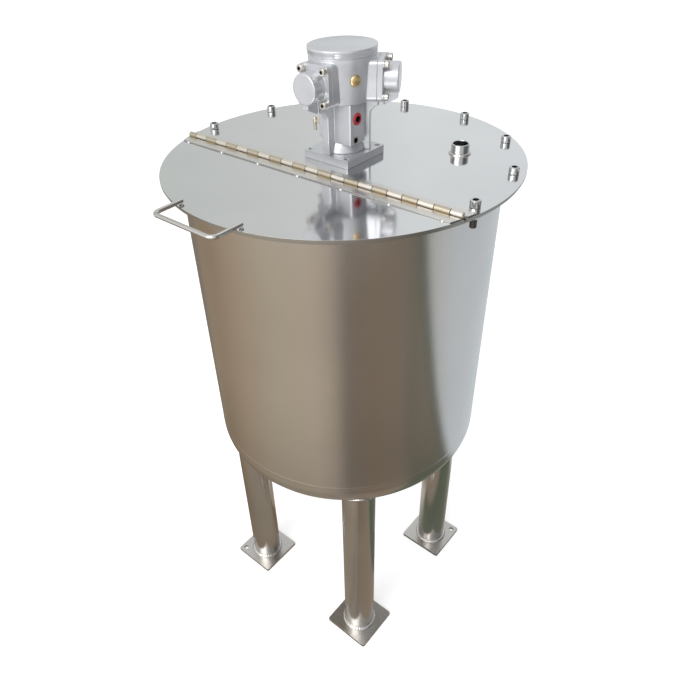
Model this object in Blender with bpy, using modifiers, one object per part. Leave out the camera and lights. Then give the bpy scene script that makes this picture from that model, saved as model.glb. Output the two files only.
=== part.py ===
"""Stainless steel mixing tank on four legs.

The lid is split by a piano hinge: the rear half is bolted to the rim flange and carries a
three-cylinder air motor that drives the agitator, and the front half is a flap with a wire handle.
Metres, +Z up, floor at z = 0, hinge parallel to X, flap towards -Y.
"""
import math

import bmesh
import bpy
from mathutils import Matrix, Vector

SEAT_GAP = 0.0003

# Tank shell
INNER_RADIUS = 0.300
SHEET = 0.003
OUTER_RADIUS = INNER_RADIUS + SHEET
LID_TOP = 1.200
LID_THICKNESS = 0.004
LID_RADIUS = 0.340
FLANGE_THICKNESS = 0.004
FLANGE_RADIUS = 0.338
LID_UNDERSIDE = LID_TOP - LID_THICKNESS
FLANGE_TOP = LID_UNDERSIDE - SEAT_GAP
FLANGE_UNDERSIDE = FLANGE_TOP - FLANGE_THICKNESS
WALL_TOP = FLANGE_UNDERSIDE - SEAT_GAP
SHELL_STEPS = 64

# Dished bottom: crown radius equal to the inside diameter, knuckle a tenth of it
BOTTOM_TOP = 0.598
SKIRT = 0.012
KNUCKLE_LEVEL = BOTTOM_TOP - SKIRT
CROWN_RADIUS = 2 * INNER_RADIUS + SHEET
KNUCKLE_RADIUS = 0.2 * INNER_RADIUS + SHEET
KNUCKLE_CENTRE = OUTER_RADIUS - KNUCKLE_RADIUS
CENTRE_DISTANCE = CROWN_RADIUS - KNUCKLE_RADIUS
CROWN_ANGLE = math.asin(KNUCKLE_CENTRE / CENTRE_DISTANCE)
CROWN_LEVEL = KNUCKLE_LEVEL + CENTRE_DISTANCE * math.cos(CROWN_ANGLE)
KNUCKLE_STEPS = 4
CROWN_STEPS = 4

# Legs and foot plates
LEG_CIRCLE = 0.248
LEG_RADIUS = 0.03805
LEG_SHEET = 0.002
LEG_STEPS = 24
LEG_TOP = KNUCKLE_LEVEL
FOOT_SIZE = 0.120
FOOT_THICKNESS = 0.008
FOOT_CORNER = 0.005
FOOT_HOLE_RADIUS = 0.006
FOOT_HOLE_INSET = 0.015
LEG_QUARTERS = {
    "front_left": (-1, -1),
    "front_right": (1, -1),
    "rear_left": (-1, 1),
    "rear_right": (1, 1),
}
INWARD_HOLE = "front_right"

# Piano hinge and flap
HINGE_Y = -0.098
PIN_RADIUS = 0.002
KNUCKLE_BORE = 0.0023
BARREL_RADIUS = 0.005
LEAF_THICKNESS = 0.002
LEAF_WIDTH = 0.026
LEAF_BACK = 0.0065
LEAF_END_RADIUS = 0.332
LEAF_BOTTOM = LID_TOP + SEAT_GAP
PIN_LEVEL = LEAF_BOTTOM + BARREL_RADIUS
KNUCKLE_PITCH = 0.030
KNUCKLE_CLEARANCE = 0.0010
BARREL_END = 0.322
BARREL_SIDES = 12
LID_SLOT = 0.005

# Wire handle on the flap
HANDLE_WIRE_RADIUS = 0.004
HANDLE_HALF_WIDTH = 0.072
HANDLE_CENTRE_X = -0.008
HANDLE_BAR_Y = -0.379
HANDLE_END_Y = -0.319
HANDLE_BEND = 0.012
HANDLE_LEVEL = LID_TOP + SEAT_GAP + HANDLE_WIRE_RADIUS

# The bolt circle and the motor sit a degree round from the hinge's square
LID_TURN = math.radians(-1.2)

# Lid bolts, M12 socket head screws with nuts, eight of them around the rear half
BOLT_CIRCLE = 0.319
BOLT_PITCH = math.radians(28)
BOLT_COUNT = 8
BOLT_SHANK = 0.006
BOLT_HOLE = 0.00675
BOLT_HEAD_RADIUS = 0.009
BOLT_HEAD_HEIGHT = 0.012
NUT_RADIUS = 0.0104
NUT_HEIGHT = 0.010
BOLT_TAIL = 0.017
BOLT_STEPS = 12

# Inlet nozzle, a stub of DN25 pipe on a weld collar
NOZZLE_X = 0.1765
NOZZLE_Y = 0.134
NOZZLE_BORE = 0.014
NOZZLE_RADIUS = 0.0167
NOZZLE_HEIGHT = 0.0185
COLLAR_RADIUS = 0.0205
COLLAR_HEIGHT = 0.0025
NOZZLE_STEPS = 32

# Air motor, heights above the lid
MOTOR_X = 0.004
MOTOR_Y = 0.0045
BASE_SIZE = 0.107
BASE_THICKNESS = 0.015
BASE_CORNER = 0.002
COLUMN_RADIUS = 0.030
COLUMN_FOOT_RADIUS = 0.040
COLUMN_FOOT_HEIGHT = 0.010
BODY_LOW_RADIUS = 0.056
BODY_TOP_RADIUS = 0.0605
BODY_SHOULDER = 0.175
CAP_LOW = 0.182
CAP_TOP = 0.195
CAP_RADIUS = 0.0615
HEAD_ANGLES = {
    "front": LID_TURN + math.radians(-90),
    "right": LID_TURN + math.radians(30),
    "left": LID_TURN + math.radians(150),
}
HEAD_WIDTH = 0.065
HEAD_HEIGHT = 0.069
HEAD_LEVEL = 0.1415
HEAD_CORNER = 0.008
BODY_LOW = HEAD_LEVEL - HEAD_HEIGHT / 2
BLOCK_REACH = 0.065
COVER_REACH = 0.0745
BONNET_REACH = 0.100
BONNET_RADIUS = 0.026
WEB_WIDTH = 0.012
WEB_INNER = 0.077
WEB_OUTER = 0.0985
WEB_OUTER_LEVEL = 0.1075
DUCT_REACH = 0.050
DUCT_WIDTH = 0.015
FLARE_REACH = COVER_REACH - DUCT_REACH
FLARE_HEIGHT = 0.0195
FLARE_TOP = 0.0965
FLARE_STEPS = 5
PORT_FACE = 0.046
PORT_BLOCK_Y = (-0.035, 0.005)
PORT_BLOCK_LOW = 0.035
PORT_BLOCK_CORNER = 0.003
PLUG_Y = -0.017
PLUG_LEVEL = 0.0795
PLUG_RADIUS = 0.0108
PLUG_DEPTH = 0.008
PLUG_RISE = 0.002
PORT_Y = -0.0205
PORT_LEVEL = 0.042
PORT_RADIUS = 0.005
PORT_DEPTH = 0.015
BREATHER_ANGLE = LID_TURN + math.radians(-27.5)
BREATHER_LEVEL = 0.1467
BREATHER_RADIUS = 0.0095
BREATHER_SEAT = 0.050
BREATHER_REACH = 0.061
EXHAUST_BLOCK = 0.031
EXHAUST_BLOCK_Y = (-0.034, 0.004)
EXHAUST_BLOCK_LOW = 0.038
EXHAUST_Y = -0.015
EXHAUST_LEVEL = 0.058
EXHAUST_STUB_RADIUS = 0.0035
SILENCER_REACH = 0.0575
SILENCER_RADIUS = 0.004
SILENCER_LEVELS = (0.040, 0.065)

# Agitator under the motor
SHAFT_RADIUS = 0.010
SHAFT_SIDES = 20
SHAFT_TOP = 0.060
SHAFT_HOLE = 0.014
SHAFT_BOTTOM = 0.640
HUB_RADIUS = 0.018
HUB_HEIGHT = 0.040
IMPELLER_LEVEL = 0.680
IMPELLER_RADIUS = 0.100
BLADE_WIDTH = 0.040
BLADE_THICKNESS = 0.004
BLADE_PITCH = math.radians(45)
BLADE_COUNT = 4

# The handle reaches further than the lid, so the box's middle is in front of the tank's axis
BOX_CENTRE_Y = (LID_RADIUS + HANDLE_BAR_Y - HANDLE_WIRE_RADIUS) / 2

for leftover in list(bpy.data.objects):
    bpy.data.objects.remove(leftover, do_unlink=True)

PARTS = bpy.data.collections.new("mixing_tank")
CUTTERS = bpy.data.collections.new("cutters")
bpy.context.scene.collection.children.link(PARTS)
bpy.context.scene.collection.children.link(CUTTERS)


def make_material(name, colour, roughness, metallic):
    material = bpy.data.materials.new(name)
    material.use_nodes = True
    shader = material.node_tree.nodes["Principled BSDF"]
    shader.inputs["Base Color"].default_value = (*colour, 1.0)
    shader.inputs["Roughness"].default_value = roughness
    shader.inputs["Metallic"].default_value = metallic
    material.diffuse_color = (*colour, 1.0)
    return material


MATERIALS = {
    "shell": make_material("shell_steel", (0.60, 0.57, 0.53), 0.22, 1.0),
    "lid": make_material("lid_steel", (0.72, 0.72, 0.72), 0.10, 1.0),
    "leg": make_material("leg_steel", (0.55, 0.53, 0.50), 0.20, 1.0),
    "hinge": make_material("hinge_steel", (0.68, 0.62, 0.54), 0.25, 1.0),
    "fastener": make_material("fastener_steel", (0.60, 0.60, 0.60), 0.25, 1.0),
    "cast": make_material("painted_casting", (0.48, 0.49, 0.51), 0.40, 0.3),
    "brass": make_material("brass", (0.72, 0.50, 0.20), 0.30, 1.0),
    "red": make_material("red_plastic", (0.45, 0.02, 0.03), 0.45, 0.0),
}


def finish(obj, material):
    """Put an object among the parts with its own copy of a material."""
    own = MATERIALS[material].copy()
    own.name = obj.name
    obj.data.materials.clear()
    obj.data.materials.append(own)
    PARTS.objects.link(obj)
    return obj


def object_from_bmesh(name, bm):
    mesh = bpy.data.meshes.new(name)
    bm.to_mesh(mesh)
    bm.free()
    mesh.shade_smooth()
    mesh.set_sharp_from_angle(angle=math.radians(35))
    return bpy.data.objects.new(name, mesh)


def cylinder(name, radius, low, high, sides, centre=(0.0, 0.0)):
    """Upright cylinder between two levels."""
    bm = bmesh.new()
    bmesh.ops.create_cone(
        bm, cap_ends=True, segments=sides, radius1=radius, radius2=radius, depth=high - low
    )
    obj = object_from_bmesh(name, bm)
    obj.location = (centre[0], centre[1], (low + high) / 2)
    return obj


def rod(name, radius, start, end, sides):
    """Cylinder from one point to another."""
    start = Vector(start)
    end = Vector(end)
    obj = cylinder(name, radius, 0, (end - start).length, sides)
    obj.rotation_euler = (end - start).to_track_quat("Z", "Y").to_euler()
    obj.location = (start + end) / 2
    return obj


def block(name, low, high, corner=0.0, corner_axis=2):
    """Box between two corner points, with its edges along one axis rounded."""
    low = Vector(low)
    high = Vector(high)
    bm = bmesh.new()
    bmesh.ops.create_cube(bm, size=1.0, matrix=Matrix.Diagonal((*(high - low), 1.0)))
    if corner:
        edges = []
        for edge in bm.edges:
            along = (edge.verts[0].co - edge.verts[1].co).normalized()
            if abs(along[corner_axis]) > 0.9:
                edges.append(edge)
        bmesh.ops.bevel(
            bm, geom=edges, offset=corner, segments=3, profile=0.5, affect="EDGES"
        )
    obj = object_from_bmesh(name, bm)
    obj.location = (low + high) / 2
    return obj


def turned(name, profile, steps, closed=False):
    """Shape turned about Z from (radius, height) points that run down its outer side."""
    mesh = bpy.data.meshes.new(name)
    points = [(radius, 0.0, height) for radius, height in profile]
    edges = [(index, index + 1) for index in range(len(points) - 1)]
    if closed:
        edges.append((len(points) - 1, 0))
    mesh.from_pydata(points, edges, [])
    obj = bpy.data.objects.new(name, mesh)
    screw = obj.modifiers.new("turn", "SCREW")
    screw.steps = steps
    screw.render_steps = steps
    screw.use_merge_vertices = True
    screw.merge_threshold = 0.00001
    return obj


def mesh_of_curve(curve_object):
    """Mesh copy of a curve object, with its caps welded on."""
    bpy.context.scene.collection.objects.link(curve_object)
    bpy.context.view_layer.update()
    graph = bpy.context.evaluated_depsgraph_get()
    mesh = bpy.data.meshes.new_from_object(curve_object.evaluated_get(graph))
    bm = bmesh.new()
    bm.from_mesh(mesh)
    bmesh.ops.remove_doubles(bm, verts=bm.verts, dist=0.00001)
    bmesh.ops.recalc_face_normals(bm, faces=bm.faces)
    name = curve_object.name
    curve_object.name = name + "_curve"
    obj = object_from_bmesh(name, bm)
    obj.matrix_world = curve_object.matrix_world
    bpy.data.objects.remove(curve_object, do_unlink=True)
    return obj


def upright_prism(name, outline, width, angle, centre):
    """Outline of (reach, height) points made into a plate that stands along a direction."""
    curve = bpy.data.curves.new(name, "CURVE")
    curve.dimensions = "2D"
    curve.fill_mode = "BOTH"
    curve.extrude = width / 2
    spline = curve.splines.new("POLY")
    spline.points.add(len(outline) - 1)
    for point, (reach, height) in zip(spline.points, outline):
        point.co = (reach, height, 0.0, 1.0)
    spline.use_cyclic_u = True
    obj = bpy.data.objects.new(name, curve)
    obj.rotation_euler = (math.radians(90), 0.0, angle)
    obj.location = (centre[0], centre[1], LID_TOP)
    return mesh_of_curve(obj)


def combine(obj, tool, operation):
    """Boolean of an object with a tool that goes to the cutters."""
    CUTTERS.objects.link(tool)
    tool.display_type = "WIRE"
    tool.hide_render = True
    modifier = obj.modifiers.new(tool.name, "BOOLEAN")
    modifier.operation = operation
    modifier.solver = "EXACT"
    modifier.object = tool
    return obj


def dish_line(offset):
    """Points of the dished bottom from its rim to its axis, moved in from its outer side."""
    points = []
    for step in range(KNUCKLE_STEPS + 1):
        angle = (math.pi / 2 - CROWN_ANGLE) * step / KNUCKLE_STEPS
        reach = KNUCKLE_RADIUS - offset
        points.append(
            (KNUCKLE_CENTRE + reach * math.cos(angle), KNUCKLE_LEVEL - reach * math.sin(angle))
        )
    for step in range(1, CROWN_STEPS + 1):
        angle = CROWN_ANGLE * (1 - step / CROWN_STEPS)
        reach = CROWN_RADIUS - offset
        points.append((reach * math.sin(angle), CROWN_LEVEL - reach * math.cos(angle)))
    return points


def make_wall():
    low = BOTTOM_TOP + SEAT_GAP
    profile = [
        (OUTER_RADIUS, WALL_TOP),
        (OUTER_RADIUS, low),
        (INNER_RADIUS, low),
        (INNER_RADIUS, WALL_TOP),
    ]
    finish(turned("tank_wall", profile, SHELL_STEPS, closed=True), "shell")


def make_bottom():
    inner = dish_line(SHEET)
    inner.reverse()
    profile = inner + [(INNER_RADIUS, BOTTOM_TOP), (OUTER_RADIUS, BOTTOM_TOP)] + dish_line(0.0)
    finish(turned("tank_bottom", profile, SHELL_STEPS), "shell")


def bolt_places():
    """Centres of the lid bolts, evenly spaced about the rear end of the lid."""
    places = []
    for index in range(BOLT_COUNT):
        angle = math.pi / 2 + LID_TURN + BOLT_PITCH * (index - (BOLT_COUNT - 1) / 2)
        places.append((BOLT_CIRCLE * math.cos(angle), BOLT_CIRCLE * math.sin(angle)))
    return places


def make_rim_flange():
    profile = [
        (FLANGE_RADIUS, FLANGE_TOP),
        (FLANGE_RADIUS, FLANGE_UNDERSIDE),
        (INNER_RADIUS, FLANGE_UNDERSIDE),
        (INNER_RADIUS, FLANGE_TOP),
    ]
    flange = turned("rim_flange", profile, SHELL_STEPS, closed=True)
    for index, centre in enumerate(bolt_places(), 1):
        hole = cylinder(
            f"flange_hole_{index}", BOLT_HOLE, FLANGE_UNDERSIDE - 0.01, FLANGE_TOP + 0.01,
            BOLT_STEPS, centre,
        )
        combine(flange, hole, "DIFFERENCE")
    finish(flange, "shell")


def make_legs():
    for quarter, (side_x, side_y) in LEG_QUARTERS.items():
        centre_x = side_x * LEG_CIRCLE * math.sqrt(0.5)
        centre_y = side_y * LEG_CIRCLE * math.sqrt(0.5)
        low = FOOT_THICKNESS + SEAT_GAP
        profile = [
            (LEG_RADIUS, LEG_TOP),
            (LEG_RADIUS, low),
            (LEG_RADIUS - LEG_SHEET, low),
            (LEG_RADIUS - LEG_SHEET, LEG_TOP),
        ]
        leg = turned(f"leg_{quarter}", profile, LEG_STEPS, closed=True)
        leg.location = (centre_x, centre_y, 0.0)
        seat = dish_line(-SEAT_GAP)
        seat_radius = seat[0][0]
        seat = [(0.0, LEG_TOP + 0.02), (seat_radius, LEG_TOP + 0.02)] + seat
        combine(leg, turned(f"dish_seat_{quarter}", seat, SHELL_STEPS), "DIFFERENCE")
        finish(leg, "leg")

        half = FOOT_SIZE / 2
        foot = block(
            f"foot_plate_{quarter}",
            (centre_x - half, centre_y - half, 0.0),
            (centre_x + half, centre_y + half, FOOT_THICKNESS),
            FOOT_CORNER,
        )
        toward = -1 if quarter == INWARD_HOLE else 1
        inset = toward * (half - FOOT_HOLE_INSET)
        place = (centre_x + side_x * inset, centre_y + side_y * inset)
        hole = cylinder(
            f"foot_hole_{quarter}", FOOT_HOLE_RADIUS, -0.01, FOOT_THICKNESS + 0.01, 16, place
        )
        combine(foot, hole, "DIFFERENCE")
        finish(foot, "leg")


def lid_half(name, keep):
    """Half of the lid disc on one side of the hinge, keep being -1 for the front."""
    half = cylinder(name, LID_RADIUS, LID_UNDERSIDE, LID_TOP, 96)
    edge = HINGE_Y + keep * LID_SLOT / 2
    far = edge - keep * 1.0
    other_side = block(
        name + "_cut",
        (-0.5, min(edge, far), LID_UNDERSIDE - 0.05),
        (0.5, max(edge, far), LID_TOP + 0.05),
    )
    return combine(half, other_side, "DIFFERENCE")


def make_lid():
    rear = lid_half("lid_rear", 1)
    holes = [(place, BOLT_HOLE, BOLT_STEPS) for place in bolt_places()]
    holes.append(((NOZZLE_X, NOZZLE_Y), NOZZLE_RADIUS + SEAT_GAP, NOZZLE_STEPS))
    holes.append(((MOTOR_X, MOTOR_Y), SHAFT_HOLE, 24))
    for index, (place, radius, sides) in enumerate(holes, 1):
        hole = cylinder(
            f"lid_hole_{index}", radius, LID_UNDERSIDE - 0.01, LID_TOP + 0.01, sides, place
        )
        combine(rear, hole, "DIFFERENCE")
    finish(rear, "lid")
    finish(lid_half("lid_flap", -1), "lid")


def knuckle_spans(front):
    """Spans along X of the front or the rear leaf's knuckles."""
    spans = []
    count = int(BARREL_END / KNUCKLE_PITCH) + 1
    for index in range(-count, count):
        if (index % 2 == 1) == front:
            low = max(index * KNUCKLE_PITCH, -BARREL_END) + KNUCKLE_CLEARANCE / 2
            high = min((index + 1) * KNUCKLE_PITCH, BARREL_END) - KNUCKLE_CLEARANCE / 2
            if high > low:
                spans.append((low, high))
    return spans


def hinge_leaf(name, side):
    """Flat strip with the knuckles that it is rolled into, side being -1 for the front leaf."""
    outer = HINGE_Y + side * LEAF_WIDTH
    inner = HINGE_Y + side * LEAF_BACK
    leaf = block(
        name,
        (-LEAF_END_RADIUS, min(outer, inner), LEAF_BOTTOM),
        (LEAF_END_RADIUS, max(outer, inner), LEAF_BOTTOM + LEAF_THICKNESS),
    )
    rounding = cylinder(
        f"{name}_rounding", LEAF_END_RADIUS, LEAF_BOTTOM - 0.01, LEAF_BOTTOM + 0.01, 96
    )
    combine(leaf, rounding, "INTERSECT")
    chord_end = math.sqrt(LEAF_END_RADIUS ** 2 - inner ** 2) - 0.001
    for index, (low, high) in enumerate(knuckle_spans(side < 0), 1):
        barrel = rod(
            f"{name}_barrel_{index}", BARREL_RADIUS, (low, HINGE_Y, PIN_LEVEL),
            (high, HINGE_Y, PIN_LEVEL), BARREL_SIDES,
        )
        low = max(low, -chord_end)
        high = min(high, chord_end)
        root = inner + side * 0.002
        tongue = block(
            f"{name}_tongue_{index}",
            (low, min(HINGE_Y, root), LEAF_BOTTOM + 0.0002),
            (high, max(HINGE_Y, root), LEAF_BOTTOM + LEAF_THICKNESS),
        )
        combine(leaf, barrel, "UNION")
        combine(leaf, tongue, "UNION")
    bore = rod(
        f"{name}_bore", KNUCKLE_BORE, (-0.4, HINGE_Y, PIN_LEVEL), (0.4, HINGE_Y, PIN_LEVEL),
        BARREL_SIDES,
    )
    combine(leaf, bore, "DIFFERENCE")
    finish(leaf, "hinge")


def make_hinge():
    hinge_leaf("hinge_leaf_rear", 1)
    hinge_leaf("hinge_leaf_front", -1)
    pin = rod(
        "hinge_pin", PIN_RADIUS, (-BARREL_END, HINGE_Y, PIN_LEVEL),
        (BARREL_END, HINGE_Y, PIN_LEVEL), BARREL_SIDES,
    )
    finish(pin, "hinge")


def make_handle():
    bends = []
    for side in (-1, 1):
        bend_x = HANDLE_CENTRE_X + side * (HANDLE_HALF_WIDTH - HANDLE_BEND)
        bend_y = HANDLE_BAR_Y + HANDLE_BEND
        arc = []
        for step in range(5):
            angle = math.radians(90) * step / 4
            arc.append(
                (bend_x + side * HANDLE_BEND * math.cos(angle), bend_y - HANDLE_BEND * math.sin(angle))
            )
        bends.append(arc)
    left = HANDLE_CENTRE_X - HANDLE_HALF_WIDTH
    right = HANDLE_CENTRE_X + HANDLE_HALF_WIDTH
    route = [(left, HANDLE_END_Y)] + bends[0] + bends[1][::-1] + [(right, HANDLE_END_Y)]
    curve = bpy.data.curves.new("flap_handle", "CURVE")
    curve.dimensions = "3D"
    curve.bevel_depth = HANDLE_WIRE_RADIUS
    curve.bevel_resolution = 2
    curve.use_fill_caps = True
    spline = curve.splines.new("POLY")
    spline.points.add(len(route) - 1)
    for point, (x, y) in zip(spline.points, route):
        point.co = (x, y, HANDLE_LEVEL, 1.0)
    finish(mesh_of_curve(bpy.data.objects.new("flap_handle", curve)), "leg")


def make_bolts():
    seat = LID_TOP + SEAT_GAP
    nut_high = FLANGE_UNDERSIDE - SEAT_GAP
    tail = nut_high - NUT_HEIGHT - BOLT_TAIL
    profile = [
        (0.0, seat + BOLT_HEAD_HEIGHT),
        (BOLT_HEAD_RADIUS, seat + BOLT_HEAD_HEIGHT),
        (BOLT_HEAD_RADIUS, seat),
        (BOLT_SHANK, seat),
        (BOLT_SHANK, tail),
        (0.0, tail),
    ]
    for index, (x, y) in enumerate(bolt_places(), 1):
        bolt = turned(f"lid_bolt_{index}", profile, BOLT_STEPS)
        bolt.location = (x, y, 0.0)
        nut = cylinder(f"nut_{index}", NUT_RADIUS, nut_high - NUT_HEIGHT, nut_high, 6, (x, y))
        nut.rotation_euler = (0.0, 0.0, math.atan2(y, x))
        combine(bolt, nut, "UNION")
        finish(bolt, "fastener")


def make_nozzle():
    """Stub that passes through the lid, with its collar on top."""
    low = LID_TOP + SEAT_GAP
    profile = [
        (NOZZLE_RADIUS, LID_TOP + NOZZLE_HEIGHT),
        (NOZZLE_RADIUS, low + COLLAR_HEIGHT),
        (COLLAR_RADIUS, low + COLLAR_HEIGHT),
        (COLLAR_RADIUS, low),
        (NOZZLE_RADIUS, low),
        (NOZZLE_RADIUS, LID_UNDERSIDE),
        (NOZZLE_BORE, LID_UNDERSIDE),
        (NOZZLE_BORE, LID_TOP + NOZZLE_HEIGHT),
    ]
    nozzle = turned("inlet_nozzle", profile, NOZZLE_STEPS, closed=True)
    nozzle.location = (NOZZLE_X, NOZZLE_Y, 0.0)
    finish(nozzle, "fastener")


def motor_point(reach, angle, height):
    """Point at a reach from the motor's axis, with its height above the lid."""
    x = MOTOR_X + reach * math.cos(angle)
    y = MOTOR_Y + reach * math.sin(angle)
    return Vector((x, y, LID_TOP + height))


def turn_on_motor(obj, angle):
    """Turn an object modelled along +X from the motor's axis, with heights above the lid."""
    obj.matrix_world = (
        Matrix.Translation((MOTOR_X, MOTOR_Y, LID_TOP))
        @ Matrix.Rotation(angle, 4, "Z")
        @ Matrix.Translation(obj.location)
        @ obj.rotation_euler.to_matrix().to_4x4()
    )
    return obj


def make_motor_base():
    half = BASE_SIZE / 2
    base = block(
        "motor_base_plate", (-half, -half, SEAT_GAP), (half, half, BASE_THICKNESS), BASE_CORNER
    )
    turn_on_motor(base, LID_TURN)
    bore = cylinder(
        "base_bore", SHAFT_HOLE, LID_TOP - 0.01, LID_TOP + BASE_THICKNESS + 0.01, 24,
        (MOTOR_X, MOTOR_Y),
    )
    combine(base, bore, "DIFFERENCE")
    finish(base, "cast")


def flare_line(first, last):
    """Points of the ducts' flare, a quarter ellipse, between two reaches."""
    points = []
    start = math.acos((COVER_REACH - first) / FLARE_REACH)
    end = math.acos((COVER_REACH - last) / FLARE_REACH)
    for step in range(FLARE_STEPS + 1):
        angle = start + (end - start) * step / FLARE_STEPS
        points.append((
            COVER_REACH - FLARE_REACH * math.cos(angle),
            FLARE_TOP - FLARE_HEIGHT * (1 - math.sin(angle)),
        ))
    return points


def make_column():
    low = LID_TOP + BASE_THICKNESS + SEAT_GAP
    high = BODY_LOW - SEAT_GAP
    centre = (MOTOR_X, MOTOR_Y)
    column = cylinder("motor_column", COLUMN_RADIUS, low, LID_TOP + high, 32, centre)
    foot = cylinder("column_foot", COLUMN_FOOT_RADIUS, low, low + COLUMN_FOOT_HEIGHT, 32, centre)
    combine(column, foot, "UNION")
    ports = block(
        "port_block", (0.0, PORT_BLOCK_Y[0], PORT_BLOCK_LOW), (PORT_FACE, PORT_BLOCK_Y[1], high),
        PORT_BLOCK_CORNER,
    )
    combine(column, turn_on_motor(ports, LID_TURN), "UNION")
    exhaust = block(
        "exhaust_block", (-EXHAUST_BLOCK, EXHAUST_BLOCK_Y[0], EXHAUST_BLOCK_LOW),
        (0.004, EXHAUST_BLOCK_Y[1], high), PORT_BLOCK_CORNER,
    )
    combine(column, turn_on_motor(exhaust, LID_TURN), "UNION")
    duct = [(0.010, high), (0.010, BASE_THICKNESS + SEAT_GAP)]
    duct += [(DUCT_REACH, BASE_THICKNESS + SEAT_GAP)] + flare_line(DUCT_REACH, BLOCK_REACH)
    duct += [(BLOCK_REACH, high)]
    for name, angle in HEAD_ANGLES.items():
        combine(column, upright_prism(f"duct_{name}", duct, DUCT_WIDTH, angle, centre), "UNION")
    bore = cylinder(
        "column_bore", SHAFT_RADIUS + SEAT_GAP, LID_TOP, LID_TOP + SHAFT_TOP + 0.010, SHAFT_SIDES,
        centre,
    )
    combine(column, bore, "DIFFERENCE")
    for name, radius, y, level, depth in (
        ("plug_seat", PLUG_RADIUS + SEAT_GAP, PLUG_Y, PLUG_LEVEL, PLUG_DEPTH + SEAT_GAP),
        ("air_port", PORT_RADIUS, PORT_Y, PORT_LEVEL, PORT_DEPTH),
    ):
        hole = rod(name, radius, (PORT_FACE - depth, y, level), (PORT_FACE + 0.02, y, level), 20)
        combine(column, turn_on_motor(hole, LID_TURN), "DIFFERENCE")
    finish(column, "cast")


def make_motor_body():
    profile = [
        (0.0, LID_TOP + CAP_LOW - SEAT_GAP),
        (BODY_TOP_RADIUS, LID_TOP + CAP_LOW - SEAT_GAP),
        (BODY_TOP_RADIUS, LID_TOP + BODY_SHOULDER),
        (BODY_LOW_RADIUS, LID_TOP + BODY_LOW),
        (0.0, LID_TOP + BODY_LOW),
    ]
    body = turned("motor_body", profile, 48)
    body.location = (MOTOR_X, MOTOR_Y, 0.0)
    for name, angle in HEAD_ANGLES.items():
        head = block(
            f"head_block_{name}",
            (0.020, -HEAD_WIDTH / 2, BODY_LOW),
            (BLOCK_REACH, HEAD_WIDTH / 2, BODY_LOW + HEAD_HEIGHT),
            HEAD_CORNER,
            0,
        )
        combine(body, turn_on_motor(head, angle), "UNION")
    seat = rod(
        "breather_seat", BREATHER_RADIUS + SEAT_GAP,
        motor_point(BREATHER_SEAT - SEAT_GAP, BREATHER_ANGLE, BREATHER_LEVEL),
        motor_point(BREATHER_SEAT + 0.03, BREATHER_ANGLE, BREATHER_LEVEL), 20,
    )
    combine(body, seat, "DIFFERENCE")
    finish(body, "cast")
    cap = cylinder(
        "motor_top_cap", CAP_RADIUS, LID_TOP + CAP_LOW, LID_TOP + CAP_TOP, 48, (MOTOR_X, MOTOR_Y)
    )
    finish(cap, "cast")


def make_covers():
    back = BLOCK_REACH + SEAT_GAP
    lip = flare_line(back, COVER_REACH)
    lip += [(COVER_REACH, BODY_LOW + 0.010), (back, BODY_LOW + 0.010)]
    web = [
        (COVER_REACH - 0.004, FLARE_TOP),
        (WEB_INNER, FLARE_TOP),
        (WEB_OUTER, WEB_OUTER_LEVEL),
        (WEB_OUTER, HEAD_LEVEL - BONNET_RADIUS / 2),
        (COVER_REACH - 0.004, HEAD_LEVEL - BONNET_RADIUS / 2),
    ]
    centre = (MOTOR_X, MOTOR_Y)
    for name, angle in HEAD_ANGLES.items():
        cover = block(
            f"cylinder_cover_{name}",
            (back, -HEAD_WIDTH / 2, BODY_LOW),
            (COVER_REACH, HEAD_WIDTH / 2, BODY_LOW + HEAD_HEIGHT),
            HEAD_CORNER,
            0,
        )
        turn_on_motor(cover, angle)
        bonnet = rod(
            f"bonnet_{name}", BONNET_RADIUS, motor_point(BLOCK_REACH + 0.002, angle, HEAD_LEVEL),
            motor_point(BONNET_REACH, angle, HEAD_LEVEL), 32,
        )
        combine(cover, bonnet, "UNION")
        combine(cover, upright_prism(f"lip_{name}", lip, DUCT_WIDTH, angle, centre), "UNION")
        combine(cover, upright_prism(f"web_{name}", web, WEB_WIDTH, angle, centre), "UNION")
        finish(cover, "cast")


def make_plugs():
    plug = rod(
        "port_plug", PLUG_RADIUS, (PORT_FACE - PLUG_DEPTH, PLUG_Y, PLUG_LEVEL),
        (PORT_FACE + PLUG_RISE, PLUG_Y, PLUG_LEVEL), 20,
    )
    finish(turn_on_motor(plug, LID_TURN), "red")
    breather = rod(
        "breather_plug", BREATHER_RADIUS,
        motor_point(BREATHER_SEAT, BREATHER_ANGLE, BREATHER_LEVEL),
        motor_point(BREATHER_REACH, BREATHER_ANGLE, BREATHER_LEVEL), 20,
    )
    finish(breather, "brass")
    fitting = rod(
        "exhaust_fitting", EXHAUST_STUB_RADIUS,
        (-EXHAUST_BLOCK - SEAT_GAP, EXHAUST_Y, EXHAUST_LEVEL),
        (-SILENCER_REACH, EXHAUST_Y, EXHAUST_LEVEL), 12,
    )
    turn_on_motor(fitting, LID_TURN)
    silencer = cylinder(
        "silencer", SILENCER_RADIUS, SILENCER_LEVELS[0], SILENCER_LEVELS[1], 16,
        (-SILENCER_REACH, EXHAUST_Y),
    )
    combine(fitting, turn_on_motor(silencer, LID_TURN), "UNION")
    finish(fitting, "brass")


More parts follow.
